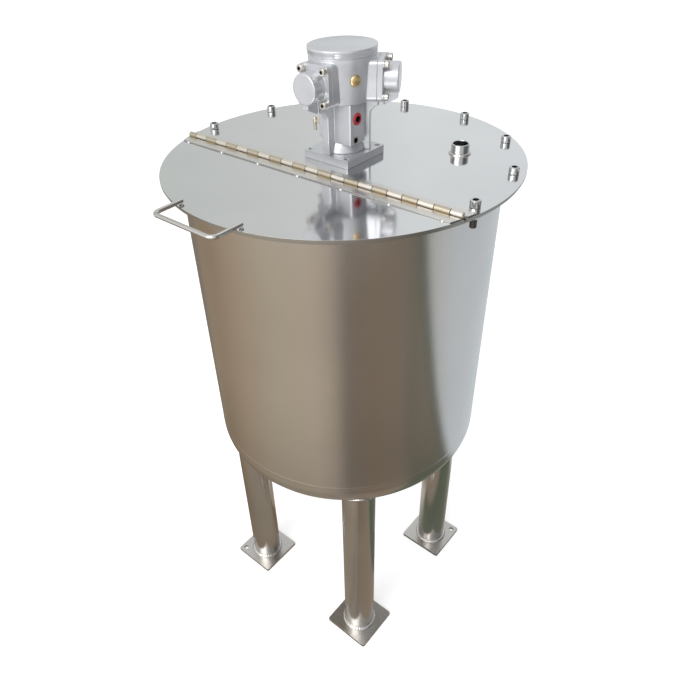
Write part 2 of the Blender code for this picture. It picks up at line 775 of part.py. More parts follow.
def make_agitator():
    centre = (MOTOR_X, MOTOR_Y)
    shaft = cylinder(
        "agitator_shaft", SHAFT_RADIUS, SHAFT_BOTTOM, LID_TOP + SHAFT_TOP, SHAFT_SIDES, centre
    )
    finish(shaft, "fastener")
    low = IMPELLER_LEVEL - HUB_HEIGHT / 2
    hub = cylinder("agitator_impeller", HUB_RADIUS, low, low + HUB_HEIGHT, SHAFT_SIDES, centre)
    for index in range(BLADE_COUNT):
        angle = math.radians(45) + 2 * math.pi * index / BLADE_COUNT
        blade = block(
            f"blade_{index + 1}",
            (HUB_RADIUS - 0.004, -BLADE_THICKNESS / 2, -BLADE_WIDTH / 2),
            (IMPELLER_RADIUS, BLADE_THICKNESS / 2, BLADE_WIDTH / 2),
        )
        blade.matrix_world = (
            Matrix.Translation((MOTOR_X, MOTOR_Y, IMPELLER_LEVEL))
            @ Matrix.Rotation(angle, 4, "Z")
            @ Matrix.Rotation(BLADE_PITCH, 4, "X")
            @ Matrix.Translation(blade.location)
        )
        combine(hub, blade, "UNION")
    bore = cylinder(
        "hub_bore", SHAFT_RADIUS + SEAT_GAP, low - 0.02, low + HUB_HEIGHT + 0.02, SHAFT_SIDES,
        centre,
    )
    combine(hub, bore, "DIFFERENCE")
    finish(hub, "fastener")


def make_flap_axis():
    """Empty on the hinge pin that carries the flap's pieces and the shapes that cut them."""
    axis = bpy.data.objects.new("flap_axis", None)
    axis.location = (0.0, HINGE_Y - BOX_CENTRE_Y, PIN_LEVEL)
    PARTS.objects.link(axis)
    bpy.context.view_layer.update()
    for name in ("lid_flap", "hinge_leaf_front", "flap_handle"):
        piece = bpy.data.objects[name]
        for obj in [piece] + [modifier.object for modifier in piece.modifiers]:
            obj.parent = axis
            obj.matrix_parent_inverse = axis.matrix_world.inverted()


make_wall()
make_bottom()
make_rim_flange()
make_legs()
make_lid()
make_hinge()
make_handle()
make_bolts()
make_nozzle()
make_motor_base()
make_column()
make_motor_body()
make_covers()
make_plugs()
make_agitator()

bpy.context.view_layer.update()
for obj in list(PARTS.objects) + list(CUTTERS.objects):
    obj.location.y -= BOX_CENTRE_Y
make_flap_axis()
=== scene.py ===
"""Looks of the stainless steel mixing tank: detailed pieces, materials, light and camera.

Metres in the CAD's frame: floor at z = 0, hinge parallel to X, flap and handle towards -Y.
"""
import math

import bmesh
import bpy
from mathutils import Matrix, Vector


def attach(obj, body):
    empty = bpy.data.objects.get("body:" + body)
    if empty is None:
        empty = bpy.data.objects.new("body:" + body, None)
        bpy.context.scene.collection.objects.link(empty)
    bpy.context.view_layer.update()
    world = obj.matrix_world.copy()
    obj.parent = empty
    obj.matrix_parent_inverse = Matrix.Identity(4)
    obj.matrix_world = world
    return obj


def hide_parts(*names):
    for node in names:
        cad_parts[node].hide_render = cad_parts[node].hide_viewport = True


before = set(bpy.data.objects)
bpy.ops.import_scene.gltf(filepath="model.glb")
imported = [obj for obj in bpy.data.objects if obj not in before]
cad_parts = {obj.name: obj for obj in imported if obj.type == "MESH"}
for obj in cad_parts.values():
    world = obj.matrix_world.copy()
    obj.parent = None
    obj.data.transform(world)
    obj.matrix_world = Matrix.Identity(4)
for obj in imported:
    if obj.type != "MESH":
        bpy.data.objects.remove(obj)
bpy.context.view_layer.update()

# The tank's axis stands behind the middle of the object's box
AXIS_Y = 0.0215

# Air between pieces that rest on each other, and reach of cutting tools past what they cut
GAP = 0.0003
CUT_OVER = 0.01

# Shell
INNER_RADIUS = 0.300
SHEET = 0.003
OUTER_RADIUS = INNER_RADIUS + SHEET
LID_TOP = 1.200
LID_THICKNESS = 0.004
LID_RADIUS = 0.340
LID_UNDERSIDE = LID_TOP - LID_THICKNESS
FLANGE_THICKNESS = 0.004
FLANGE_TOP = LID_UNDERSIDE - GAP
FLANGE_UNDERSIDE = FLANGE_TOP - FLANGE_THICKNESS
FLANGE_RADIUS = 0.338
WALL_TOP = FLANGE_UNDERSIDE - GAP
BOTTOM_TOP = 0.598
BOTTOM_RIM = 0.012
KNUCKLE_LEVEL = BOTTOM_TOP - BOTTOM_RIM
CROWN_RADIUS = 2 * INNER_RADIUS + SHEET
KNUCKLE_RADIUS = 0.2 * INNER_RADIUS + SHEET
KNUCKLE_CENTRE = OUTER_RADIUS - KNUCKLE_RADIUS
CROWN_ANGLE = math.asin(KNUCKLE_CENTRE / (CROWN_RADIUS - KNUCKLE_RADIUS))
CROWN_LEVEL = KNUCKLE_LEVEL + (CROWN_RADIUS - KNUCKLE_RADIUS) * math.cos(CROWN_ANGLE)
SHELL_STEPS = 256

# Legs and foot plates
LEG_OFFSET = 0.248 * math.sqrt(0.5)
LEG_RADIUS = 0.03805
LEG_SHEET = 0.002
FOOT_SIZE = 0.120
FOOT_THICKNESS = 0.008
FOOT_CORNER = 0.005
ANCHOR_RADIUS = 0.006
ANCHOR_INSET = 0.015

# Side in X and in Y, and 1 for an anchor hole at the outer corner or -1 at the inner one
LEG_QUARTERS = {
    "front_left": (-1, -1, 1),
    "front_right": (1, -1, -1),
    "rear_left": (-1, 1, 1),
    "rear_right": (1, 1, 1),
}

# Hinge, about the tank's axis
HINGE_Y = -0.098
HALF_SLOT = 0.0025
PIN_LEVEL = 1.2053
PIN_HOLE_RADIUS = 0.0023
BARREL_RADIUS = 0.005
BARREL_END = 0.322
BARREL_PITCH = 0.030
BARREL_GAP = 0.0005
LEAF_BOTTOM = LID_TOP + GAP
LEAF_THICKNESS = 0.002
LEAF_INNER = 0.0065
LEAF_OUTER = 0.026
LEAF_END_RADIUS = 0.338
TACK_SPACING = 0.1

# Handle, about the tank's axis
HANDLE_X = -0.008
HANDLE_HALF = 0.072
HANDLE_BEND = 0.012
HANDLE_WIRE = 0.004
HANDLE_ROOT = -0.319
HANDLE_FRONT = -0.379
HANDLE_LEVEL = LEAF_BOTTOM + HANDLE_WIRE

# Bolts and nozzle, about the tank's axis
LID_TURN = math.radians(-1.2)
BOLT_COUNT = 8
BOLT_CIRCLE = 0.319
BOLT_PITCH = math.radians(28)
BOLT_HOLE_RADIUS = 0.00675
BOLT_TAIL = 0.027
NUT_RADIUS = 0.0104
NUT_HEIGHT = 0.010
THREAD_PITCH = 0.00175
THREAD_ROOT = 0.0053
THREAD_CREST = 0.0060
NOZZLE = (0.1765, 0.134)
NOZZLE_RADIUS = 0.0167
NOZZLE_BORE = 0.0140
NOZZLE_HOLE = 0.017
NOZZLE_TOP = LID_TOP + 0.0185

# Motor: place about the tank's axis, then sizes about its own axis with heights above the lid
MOTOR = (0.004, 0.0045)
HEADS = {"front": math.radians(-90), "right": math.radians(30), "left": math.radians(150)}
SHAFT_RADIUS = 0.010
SHAFT_HOLE = 0.014
BASE_HALF = 0.0535
BASE_TOP = 0.015
BASE_SCREW_PLACE = 0.044
BASE_SCREW_SINK = 0.007
BODY_LOW = 0.107
BODY_TOP = 0.1817
HEAD_LEVEL = 0.1415
HEAD_WIDTH = 0.065
HEAD_HEIGHT = 0.069
HEAD_CORNER = 0.008
HEAD_SCREW_ACROSS = 0.025
HEAD_SCREW_UP = 0.0268
WASHER_THICKNESS = 0.0015
BLOCK_REACH = 0.065
COVER_REACH = 0.0745
DUCT_REACH = 0.050
DUCT_WIDTH = 0.015
WEB_WIDTH = 0.012
FLARE_TOP = 0.0965
FLARE_HEIGHT = 0.0195
PORT_FACE = 0.046
PORT_RECESS = 0.0006
PORT = (-0.0205, 0.042)
PORT_RECESS_LEVEL = 0.0428
PLUG = (-0.017, 0.0795)
BREATHER_TURN = math.radians(-27.5)
BREATHER_LEVEL = 0.1467
EXHAUST = (-0.0575, -0.015)
EXHAUST_LEVEL = 0.058

# Sides that the four screws of a plate or a cover stand on
CORNERS = ((1, 1), (1, -1), (-1, 1), (-1, -1))

# Impeller on the shaft
IMPELLER_LEVEL = 0.680
HUB_HALF = 0.020
BLADE_REACH = 0.100
BLADE_COUNT = 4


def polar(radius, angle):
    return radius * math.cos(angle), radius * math.sin(angle)


def ring(radius, level, steps, centre=(0.0, 0.0)):
    """Points of a level circle about a place given from the tank's axis."""
    points = []
    for step in range(steps):
        x, y = polar(radius, 2 * math.pi * step / steps)
        points.append(Vector((centre[0] + x, centre[1] + y, level)))
    return points


def add_object(name, data):
    """New object of the scene that holds a mesh, a light or a camera."""
    obj = bpy.data.objects.new(name, data)
    bpy.context.scene.collection.objects.link(obj)
    return obj


def make_object(name, bm):
    """Smooth shaded object from a bmesh."""
    mesh = bpy.data.meshes.new(name)
    bm.to_mesh(mesh)
    bm.free()
    mesh.shade_smooth()
    return add_object(name, mesh)


def place(obj, matrix):
    """Move an object's own mesh by a matrix."""
    obj.data.transform(matrix)
    return obj


def copy_of(obj, name, matrix):
    """Copy of an object with a mesh of its own, moved by a matrix."""
    return place(add_object(name, obj.data.copy()), matrix)


def on_axis(obj):
    """Move a mesh made about the tank's axis into the shared frame."""
    return place(obj, Matrix.Translation((0.0, AXIS_Y, 0.0)))


def along_x(spot):
    """Matrix that lays a shape made up the Z axis along +X from a place."""
    return Matrix.Translation(spot) @ Matrix.Rotation(math.pi / 2, 4, "Y")


def bridge(bm, rows, closed=False):
    """Faces between rows of vertices, where a row of one repeated vertex is a point."""
    pairs = list(zip(rows, rows[1:]))
    if closed:
        pairs.append((rows[-1], rows[0]))
    for here, there in pairs:
        for step in range(len(here)):
            after = (step + 1) % len(here)
            corners = [here[step], there[step], there[after], here[after]]
            unique = list(dict.fromkeys(corners))
            if len(unique) > 2:
                bm.faces.new(unique)


def lathe(name, profile, steps, centre=(0.0, 0.0)):
    """Turned shape from (radius, height) points, closed into a ring or ended on the axis."""
    bm = bmesh.new()
    rows = []
    for radius, height in profile:
        if radius < 1e-7:
            rows.append([bm.verts.new((*centre, height))] * steps)
        else:
            rows.append([bm.verts.new(p) for p in ring(radius, height, steps, centre)])
    bridge(bm, rows, closed=True)
    bmesh.ops.recalc_face_normals(bm, faces=bm.faces)
    return make_object(name, bm)


def cylinder(name, radius, low, high, sides, centre=(0.0, 0.0)):
    """Upright cylinder between two levels."""
    bm = bmesh.new()
    bmesh.ops.create_cone(
        bm, cap_ends=True, segments=sides, radius1=radius, radius2=radius, depth=high - low,
        matrix=Matrix.Translation((*centre, (low + high) / 2)),
    )
    return make_object(name, bm)


def rod(name, radius, start, end, sides):
    """Cylinder from one point to another."""
    start = Vector(start)
    end = Vector(end)
    obj = cylinder(name, radius, 0.0, (end - start).length, sides)
    turn = (end - start).to_track_quat("Z", "Y").to_matrix().to_4x4()
    return place(obj, Matrix.Translation(start) @ turn)


def block(name, low, high, corner=0.0, corner_axis=2, segments=6):
    """Box between two corner points, with its edges along one axis rounded."""
    low = Vector(low)
    high = Vector(high)
    bm = bmesh.new()
    bmesh.ops.create_cube(bm, size=1.0, matrix=Matrix.Diagonal((*(high - low), 1.0)))
    if corner:
        edges = []
        for edge in bm.edges:
            along = (edge.verts[0].co - edge.verts[1].co).normalized()
            if abs(along[corner_axis]) > 0.9:
                edges.append(edge)
        bmesh.ops.bevel(
            bm, geom=edges, offset=corner, segments=segments, profile=0.5, affect="EDGES"
        )
    obj = make_object(name, bm)
    return place(obj, Matrix.Translation((low + high) / 2))


def prism(name, outline, low, high):
    """Level outline of (x, y) points raised between two levels."""
    bm = bmesh.new()
    lower = [bm.verts.new((x, y, low)) for x, y in outline]
    upper = [bm.verts.new((x, y, high)) for x, y in outline]
    bm.faces.new(lower[::-1])
    bm.faces.new(upper)
    for index in range(len(outline)):
        after = (index + 1) % len(outline)
        bm.faces.new((lower[index], lower[after], upper[after], upper[index]))
    bmesh.ops.recalc_face_normals(bm, faces=bm.faces)
    return make_object(name, bm)


def sweep(name, points, radii, sides, closed=False):
    """Round bar along points, its radius given at each of them, with closed ends."""
    bm = bmesh.new()
    count = len(points)
    rings = []
    normal = None
    for index, point in enumerate(points):
        if closed:
            along = points[(index + 1) % count] - points[index - 1]
        else:
            along = points[min(index + 1, count - 1)] - points[max(index - 1, 0)]
        along.normalize()
        if normal is None:
            normal = along.orthogonal()
        normal = (normal - along * normal.dot(along)).normalized()
        side = along.cross(normal)
        row = []
        for step in range(sides):
            angle = 2 * math.pi * step / sides
            out = normal * math.cos(angle) + side * math.sin(angle)
            row.append(bm.verts.new(point + out * radii[index]))
        rings.append(row)
    last = count if closed else count - 1
    for index in range(last):
        here = rings[index]
        there = rings[(index + 1) % count]
        for step in range(sides):
            after = (step + 1) % sides
            bm.faces.new((here[step], here[after], there[after], there[step]))
    if not closed:
        bm.faces.new(rings[0][::-1])
        bm.faces.new(rings[-1])
    bmesh.ops.recalc_face_normals(bm, faces=bm.faces)
    return make_object(name, bm)


def weld_bead(name, points, radius, sides=8):
    """Closed weld bead along evenly spaced points, with the ripples of its runs."""
    radii = []
    for index in range(len(points)):
        ripple = 0.04 * math.sin(index * math.pi / 2)
        radii.append(radius * (1.0 + ripple))
    return sweep(name, points, radii, sides, closed=True)


def weld_dab(spot, size):
    """Flattened blob of weld metal, its size given as half its width each way."""
    bm = bmesh.new()
    bmesh.ops.create_uvsphere(bm, u_segments=20, v_segments=10, radius=1.0)
    blob = make_object("dab", bm)
    return place(blob, Matrix.Translation(spot) @ Matrix.Diagonal((*size, 1.0)))


def baked(obj):
    """Replace an object's mesh by what its modifiers make of it."""
    graph = bpy.context.evaluated_depsgraph_get()
    mesh = bpy.data.meshes.new_from_object(obj.evaluated_get(graph))
    obj.modifiers.clear()
    obj.data = mesh
    return obj


def remove(obj):
    bpy.data.objects.remove(obj, do_unlink=True)


def carve(obj, tools):
    """Cut tools out of an object, and remove them."""
    for tool in tools:
        modifier = obj.modifiers.new(tool.name, "BOOLEAN")
        modifier.operation = "DIFFERENCE"
        modifier.solver = "EXACT"
        modifier.object = tool
    baked(obj)
    for tool in tools:
        remove(tool)
    return obj


def joined(name, parts):
    """One object that holds the meshes of several, which are removed."""
    bm = bmesh.new()
    for part in parts:
        bm.from_mesh(part.data)
        remove(part)
    return make_object(name, bm)


def casting(name, parts, voxel=0.0007, passes=3):
    """Closed shapes melted into one casting with soft inner and outer edges."""
    obj = joined(name, parts)
    remesh = obj.modifiers.new("melt", "REMESH")
    remesh.mode = "VOXEL"
    remesh.voxel_size = voxel
    smooth = obj.modifiers.new("soften", "SMOOTH")
    smooth.iterations = passes
    smooth.factor = 0.5
    decimate = obj.modifiers.new("lighten", "DECIMATE")
    decimate.ratio = 0.3
    baked(obj)
    obj.data.shade_smooth()
    return obj


def soften(obj, width, segments=2):
    """Small round on an object's hard edges."""
    bevel = obj.modifiers.new("round", "BEVEL")
    bevel.width = width
    bevel.segments = segments
    bevel.limit_method = "ANGLE"
    bevel.angle_limit = math.radians(30)
    bevel.harden_normals = True
    return obj


def sharpen(obj, angle=30):
    """Shade edges that turn by more than an angle in degrees as sharp ones."""
    obj.data.set_sharp_from_angle(angle=math.radians(angle))
    return obj


def mark(obj, chosen):
    """Give the second material to the faces that a test of centre and normal picks."""
    for face in obj.data.polygons:
        if chosen(face.center, face.normal):
            face.material_index = 1
    return obj


def mark_rim(obj):
    """Give the second material to a level sheet's upright faces."""
    return mark(obj, lambda centre, normal: abs(normal.z) < 0.5)


def put(obj, look, nodes=(), body="tank", marked=None):
    """Give a finished piece its material and its body, and hide the CAD nodes it stands for."""
    material, slot = LOOKS[look]
    if not obj.data.materials:
        obj.data.materials.append(material)
        if marked:
            obj.data.materials.append(LOOKS[marked][0])
    if nodes:
        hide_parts(*nodes)
    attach(obj, body)
    return obj


class Wiring:
    """Short way to wire the nodes of a material or of the world."""

    def __init__(self, tree, coordinates):
        self.nodes = tree.nodes
        self.links = tree.links
        self.spot = self.add("ShaderNodeTexCoord").outputs[coordinates]

    def add(self, kind, **values):
        node = self.nodes.new(kind)
        for key, value in values.items():
            setattr(node, key, value)
        return node

    def axes(self):
        """X, Y and Z of the place or the direction that is shaded."""
        split = self.add("ShaderNodeSeparateXYZ")
        self.links.new(self.spot, split.inputs[0])
        return split.outputs

    def calc(self, operation, *values):
        """Math node of numbers and sockets."""
        node = self.add("ShaderNodeMath", operation=operation)
        for index, value in enumerate(values):
            if isinstance(value, float):
                node.inputs[index].default_value = value
            else:
                self.links.new(value, node.inputs[index])
        return node.outputs[0]

    def product(self, first, *others):
        for other in others:
            first = self.calc("MULTIPLY", first, other)
        return first

    def azimuth(self, x, y):
        """Azimuth as a share of a turn: 0 at -X, a quarter at -Y and a half at +X."""
        return self.calc("MULTIPLY_ADD", self.calc("ARCTAN2", y, x), 0.5 / math.pi, 0.5)

    def span(self, value, low, high, start=0.3, end=0.7, kind="LINEAR"):
        """Value carried from one range, by default a noise's own, into another."""
        node = self.add("ShaderNodeMapRange", interpolation_type=kind)
        node.inputs["From Min"].default_value = start
        node.inputs["From Max"].default_value = end
        node.inputs["To Min"].default_value = low
        node.inputs["To Max"].default_value = high
        self.links.new(value, node.inputs["Value"])
        return node.outputs["Result"]

    def rise(self, value, start, end):
        return self.span(value, 0.0, 1.0, start, end)

    def fall(self, value, start, end):
        return self.span(value, 1.0, 0.0, start, end)

    def mix(self, factor, first, second):
        """Blend of two colours, each a plain colour or a socket."""
        node = self.add("ShaderNodeMix", data_type="RGBA")
        self.links.new(factor, node.inputs["Factor"])
        for socket, value in ((node.inputs[6], first), (node.inputs[7], second)):
            if isinstance(value, tuple):
                socket.default_value = (*value, 1.0)
            else:
                self.links.new(value, socket)
        return node.outputs[2]

    def ramp(self, value, stops):
        """Colour by (place, colour) stops."""
        node = self.add("ShaderNodeValToRGB")
        elements = node.color_ramp.elements
        while len(elements) < len(stops):
            elements.new(0.5)
        for element, (position, colour) in zip(elements, stops):
            element.position = position
            element.color = (*colour, 1.0)
        self.links.new(value, node.inputs["Fac"])
        return node.outputs["Color"]


class Shader(Wiring):
    """New material about one Principled shader."""

    def __init__(self, name):
        self.material = bpy.data.materials.new(name)
        self.material.use_nodes = True
        super().__init__(self.material.node_tree, "Object")
        self.main = self.nodes["Principled BSDF"]

    def set(self, **values):
        for key, value in values.items():
            self.main.inputs[key.replace("_", " ")].default_value = value

    def to(self, socket, value):
        self.links.new(value, self.main.inputs[socket])

    def noise(self, scale, stretch=(1, 1, 1), detail=3.0, roughness=0.5):
        mapping = self.add("ShaderNodeMapping")
        mapping.inputs["Scale"].default_value = stretch
        self.links.new(self.spot, mapping.inputs["Vector"])
        node = self.add("ShaderNodeTexNoise")
        node.inputs["Scale"].default_value = scale
        node.inputs["Detail"].default_value = detail
        node.inputs["Roughness"].default_value = roughness
        self.links.new(mapping.outputs["Vector"], node.inputs["Vector"])
        return node.outputs["Fac"]

    def sum(self, first, second, weight):
        return self.calc("MULTIPLY_ADD", second, weight, first)

    def bump(self, height, strength, distance, normal=None):
        node = self.add("ShaderNodeBump")
        node.inputs["Strength"].default_value = strength
        node.inputs["Distance"].default_value = distance
        self.links.new(height, node.inputs["Height"])
        if normal is not None:
            self.links.new(normal, node.inputs["Normal"])
        return node.outputs["Normal"]

    def dimmed(self, colour, factor):
        node = self.add("ShaderNodeVectorMath", operation="SCALE")
        self.links.new(colour, node.inputs[0])
        self.links.new(factor, node.inputs["Scale"])
        return node.outputs[0]


def metal(name, colour, tone, roughness, grain_scale, grain, bump, wave=0.0):
    """Metal with two close tones and a grain drawn one way, on a slightly wavy sheet if asked."""
    shader = Shader(name)
    shader.set(Metallic=1.0)
    clouds = shader.noise(6.0, detail=4.0)
    shader.to("Base Color", shader.mix(shader.span(clouds, 0.0, 1.0), colour, tone))
    lines = shader.noise(grain_scale, stretch=grain, detail=5.0, roughness=0.65)
    smears = shader.noise(14.0, detail=5.0, roughness=0.6)
    drawn = shader.span(lines, roughness * 0.85, roughness * 1.15)
    shader.to("Roughness", shader.sum(drawn, smears, roughness * 0.25))
    normal = shader.bump(lines, bump, 0.0002)
    if wave:
        swell = shader.noise(5.0, detail=1.0)
        normal = shader.bump(swell, 1.0, wave, normal)
    shader.to("Normal", normal)
    return shader.material


def casting_paint(name, colour, tone):
    """Silver paint over a sand casting."""
    shader = Shader(name)
    shader.set(Metallic=0.6, Specular_IOR_Level=0.5, Coat_Weight=0.2, Coat_Roughness=0.18)
    clouds = shader.noise(35.0, detail=5.0)
    shader.to("Base Color", shader.mix(shader.span(clouds, 0.0, 1.0), colour, tone))
    grain = shader.noise(420.0, detail=2.0, roughness=0.6)
    pits = shader.noise(160.0, detail=2.0)
    shader.to("Roughness", shader.span(clouds, 0.28, 0.36))
    shader.to("Normal", shader.bump(shader.sum(grain, pits, 1.5), 0.08, 0.0003))
    return shader.material


def plastic(name, colour, tone, roughness):
    """Moulded plastic with a fine skin."""
    shader = Shader(name)
    clouds = shader.noise(60.0, detail=4.0)
    shader.to("Base Color", shader.mix(shader.span(clouds, 0.0, 1.0), colour, tone))
    shader.to("Roughness", shader.span(shader.noise(300.0), roughness * 0.8, roughness * 1.2))
    shader.to("Normal", shader.bump(shader.noise(1200.0), 0.1, 0.0002))
    return shader.material


# Slot, two tones, roughness, scale and stretch of the grain, its bump, and a wavy sheet's wave
METALS = {
    "shell": ("shell_steel", (0.63, 0.61, 0.58), (0.67, 0.65, 0.62), 0.18, 40.0, (14, 14, 0.4), 0.25),
    "lid": ("lid_steel", (0.70, 0.70, 0.70), (0.74, 0.74, 0.74), 0.085, 50.0, (1, 1, 1), 0.02, 0.0016),
    # Rim steel: a duller cut-edge finish, darkened further as painted shade of the dark band along the
    # lid's rim
    "edge": ("lid_steel", (0.38, 0.37, 0.34), (0.44, 0.43, 0.40), 0.30, 120.0, (1, 1, 12), 0.3),
    "leg": ("leg_steel", (0.60, 0.58, 0.55), (0.67, 0.65, 0.62), 0.16, 60.0, (8, 8, 0.6), 0.25),
    # Foot plates; also on the hinge strips' upright faces, where its darker tone is painted shade along
    # the leaves' edges
    "foot": ("leg_steel", (0.46, 0.45, 0.43), (0.56, 0.54, 0.52), 0.26, 60.0, (4, 4, 4), 0.3),
    "bead": ("leg_steel", (0.66, 0.64, 0.61), (0.76, 0.74, 0.71), 0.24, 200.0, (1, 1, 1), 0.5),
    "wire": ("leg_steel", (0.60, 0.58, 0.55), (0.68, 0.66, 0.63), 0.16, 80.0, (1, 1, 1), 0.1),
    "leaf": ("hinge_steel", (0.70, 0.68, 0.65), (0.75, 0.73, 0.70), 0.22, 80.0, (0.6, 8, 8), 0.1),
    "strip": ("hinge_steel", (0.70, 0.65, 0.57), (0.76, 0.71, 0.63), 0.34, 80.0, (0.6, 8, 8), 0.2),
    "bronzed": ("hinge_steel", (0.52, 0.46, 0.36), (0.59, 0.53, 0.42), 0.34, 80.0, (0.6, 8, 8), 0.2),
    "turned": ("fastener_steel", (0.60, 0.60, 0.59), (0.68, 0.68, 0.67), 0.18, 300.0, (1, 1, 6), 0.2),
    "plated": ("fastener_steel", (0.60, 0.58, 0.54), (0.68, 0.66, 0.62), 0.32, 300.0, (1, 1, 1), 0.2),
    # Painted shade: near-black steel put in socket and hexagon recesses, the column's port bore and the
    # lid screws' threads under the flange
    "painted_shade": ("fastener_steel", (0.10, 0.10, 0.10), (0.14, 0.14, 0.135), 0.40, 200.0, (1, 1, 1), 0.2),
    "brass_turned": ("brass", (0.82, 0.59, 0.29), (0.90, 0.67, 0.36), 0.30, 200.0, (1, 1, 1), 0.2),
    "brass_dull": ("brass", (0.62, 0.56, 0.45), (0.70, 0.64, 0.54), 0.40, 200.0, (1, 1, 1), 0.3),
}

LOOKS = {name: (metal(name, *values), slot) for name, (slot, *values) in METALS.items()}
LOOKS["paint"] = (casting_paint("paint", (0.56, 0.57, 0.595), (0.62, 0.63, 0.655)), "painted_casting")
LOOKS["red"] = (plastic("red", (0.42, 0.02, 0.03), (0.52, 0.04, 0.05), 0.4), "red_plastic")


def dish_level(radius):
    """Height of the dished bottom's outer side."""
    if radius < CROWN_RADIUS * math.sin(CROWN_ANGLE):
        return CROWN_LEVEL - math.sqrt(CROWN_RADIUS ** 2 - radius ** 2)
    across = min(radius - KNUCKLE_CENTRE, KNUCKLE_RADIUS)
    return KNUCKLE_LEVEL - math.sqrt(KNUCKLE_RADIUS ** 2 - across ** 2)


def dish_line(offset, steps=14):
    """Points from the rim to the axis of the dished bottom, or of a surface set in from it."""
    points = []
    for step in range(steps + 1):
        angle = (math.pi / 2 - CROWN_ANGLE) * step / steps
        out, down = polar(KNUCKLE_RADIUS - offset, angle)
        points.append((KNUCKLE_CENTRE + out, KNUCKLE_LEVEL - down))
    for step in range(1, steps + 1):
        angle = CROWN_ANGLE * (1 - step / steps)
        reach = CROWN_RADIUS - offset
        points.append((max(reach * math.sin(angle), 0.0), CROWN_LEVEL - reach * math.cos(angle)))
    return points


def make_shell():
    low = BOTTOM_TOP + GAP
    outer = [(OUTER_RADIUS, WALL_TOP), (OUTER_RADIUS, low + 0.3), (OUTER_RADIUS, low)]
    inner = [(INNER_RADIUS, low), (INNER_RADIUS, WALL_TOP)]
    put(on_axis(sharpen(lathe("wall", outer + inner, SHELL_STEPS))), "shell", ["tank_wall"])

    inside = dish_line(SHEET)[::-1]
    profile = inside + [(INNER_RADIUS, BOTTOM_TOP), (OUTER_RADIUS, BOTTOM_TOP)] + dish_line(0.0)
    bottom = lathe("bottom", profile, SHELL_STEPS)
    put(on_axis(sharpen(bottom)), "shell", ["tank_bottom"])

    seam = []
    for step in range(9):
        angle = math.pi * step / 8
        out = OUTER_RADIUS - 0.0001 + 0.0004 * math.sin(angle)
        seam.append((out, BOTTOM_TOP + 0.004 * math.cos(angle)))
    put(on_axis(lathe("bottom_seam", seam, SHELL_STEPS)), "shell")

    edge = 0.0005
    profile = [
        (FLANGE_RADIUS - edge, FLANGE_TOP), (FLANGE_RADIUS, FLANGE_TOP - edge),
        (FLANGE_RADIUS, FLANGE_UNDERSIDE + edge), (FLANGE_RADIUS - edge, FLANGE_UNDERSIDE),
        (INNER_RADIUS, FLANGE_UNDERSIDE), (INNER_RADIUS, FLANGE_TOP),
    ]
    flange = lathe("flange", profile, SHELL_STEPS)
    # Painted shade: the flange takes the darkened rim steel
    put(on_axis(sharpen(flange)), "edge", ["rim_flange"])
    under = ring(OUTER_RADIUS + 0.0008, FLANGE_UNDERSIDE - 0.0008, 720)
    put(on_axis(weld_bead("flange_weld", under, 0.0022)), "bead")


def leg_tube(name, centre):
    """Pipe leg whose top is coped to the dished bottom."""
    bm = bmesh.new()
    low = FOOT_THICKNESS + GAP
    bore = LEG_RADIUS - LEG_SHEET
    rows = []
    for radius, level in ((LEG_RADIUS, None), (LEG_RADIUS, low), (bore, low), (bore, None)):
        row = []
        for point in ring(radius, 0.0, 96, centre):
            point.z = dish_level(point.xy.length) - GAP if level is None else level
            row.append(bm.verts.new(point))
        rows.append(row)
    bridge(bm, rows, closed=True)
    bmesh.ops.recalc_face_normals(bm, faces=bm.faces)
    return sharpen(make_object(name, bm))


def make_legs():
    half = FOOT_SIZE / 2
    for quarter, (side_x, side_y, toward) in LEG_QUARTERS.items():
        centre = (side_x * LEG_OFFSET, side_y * LEG_OFFSET)
        tube = leg_tube(f"pipe_{quarter}", centre)
        put(on_axis(tube), "leg", [f"leg_{quarter}"])
        top = ring(LEG_RADIUS + 0.001, 0.0, 140, centre)
        for point in top:
            point.z = dish_level(point.xy.length) - 0.0015
        put(on_axis(weld_bead(f"top_weld_{quarter}", top, 0.0028)), "bead")
        foot = ring(LEG_RADIUS + 0.0008, FOOT_THICKNESS + 0.0008, 140, centre)
        put(on_axis(weld_bead(f"foot_weld_{quarter}", foot, 0.0046)), "bead")

        plate = block(
            f"plate_{quarter}",
            (centre[0] - half, centre[1] - half, 0.0),
            (centre[0] + half, centre[1] + half, FOOT_THICKNESS),
            FOOT_CORNER,
        )
        inset = toward * (half - ANCHOR_INSET)
        spot = (centre[0] + side_x * inset, centre[1] + side_y * inset)
        carve(plate, [cylinder("hole", ANCHOR_RADIUS, -CUT_OVER, 2 * CUT_OVER, 48, spot)])
        put(on_axis(soften(plate, 0.0007)), "foot", [f"foot_plate_{quarter}"])


def bolt_places():
    """Places of the lid screws, spread evenly about the middle of the rear half."""
    places = []
    for index in range(BOLT_COUNT):
        angle = math.pi / 2 + LID_TURN + BOLT_PITCH * (index - (BOLT_COUNT - 1) / 2)
        places.append(polar(BOLT_CIRCLE, angle))
    return places


def lid_outline(side):
    """Outline of the lid on one side of the hinge, side being -1 for the flap."""
    edge = HINGE_Y + side * HALF_SLOT
    start = math.asin(edge / LID_RADIUS)
    end = math.pi - start
    if side < 0:
        start, end = end, 2 * math.pi + start
    steps = 220
    outline = []
    for step in range(steps + 1):
        outline.append(polar(LID_RADIUS, start + (end - start) * step / steps))
    return outline


def lid_hole(name, radius, sides, spot):
    """Tool for a hole through the lid."""
    return cylinder(name, radius, LID_UNDERSIDE - CUT_OVER, LID_TOP + CUT_OVER, sides, spot)


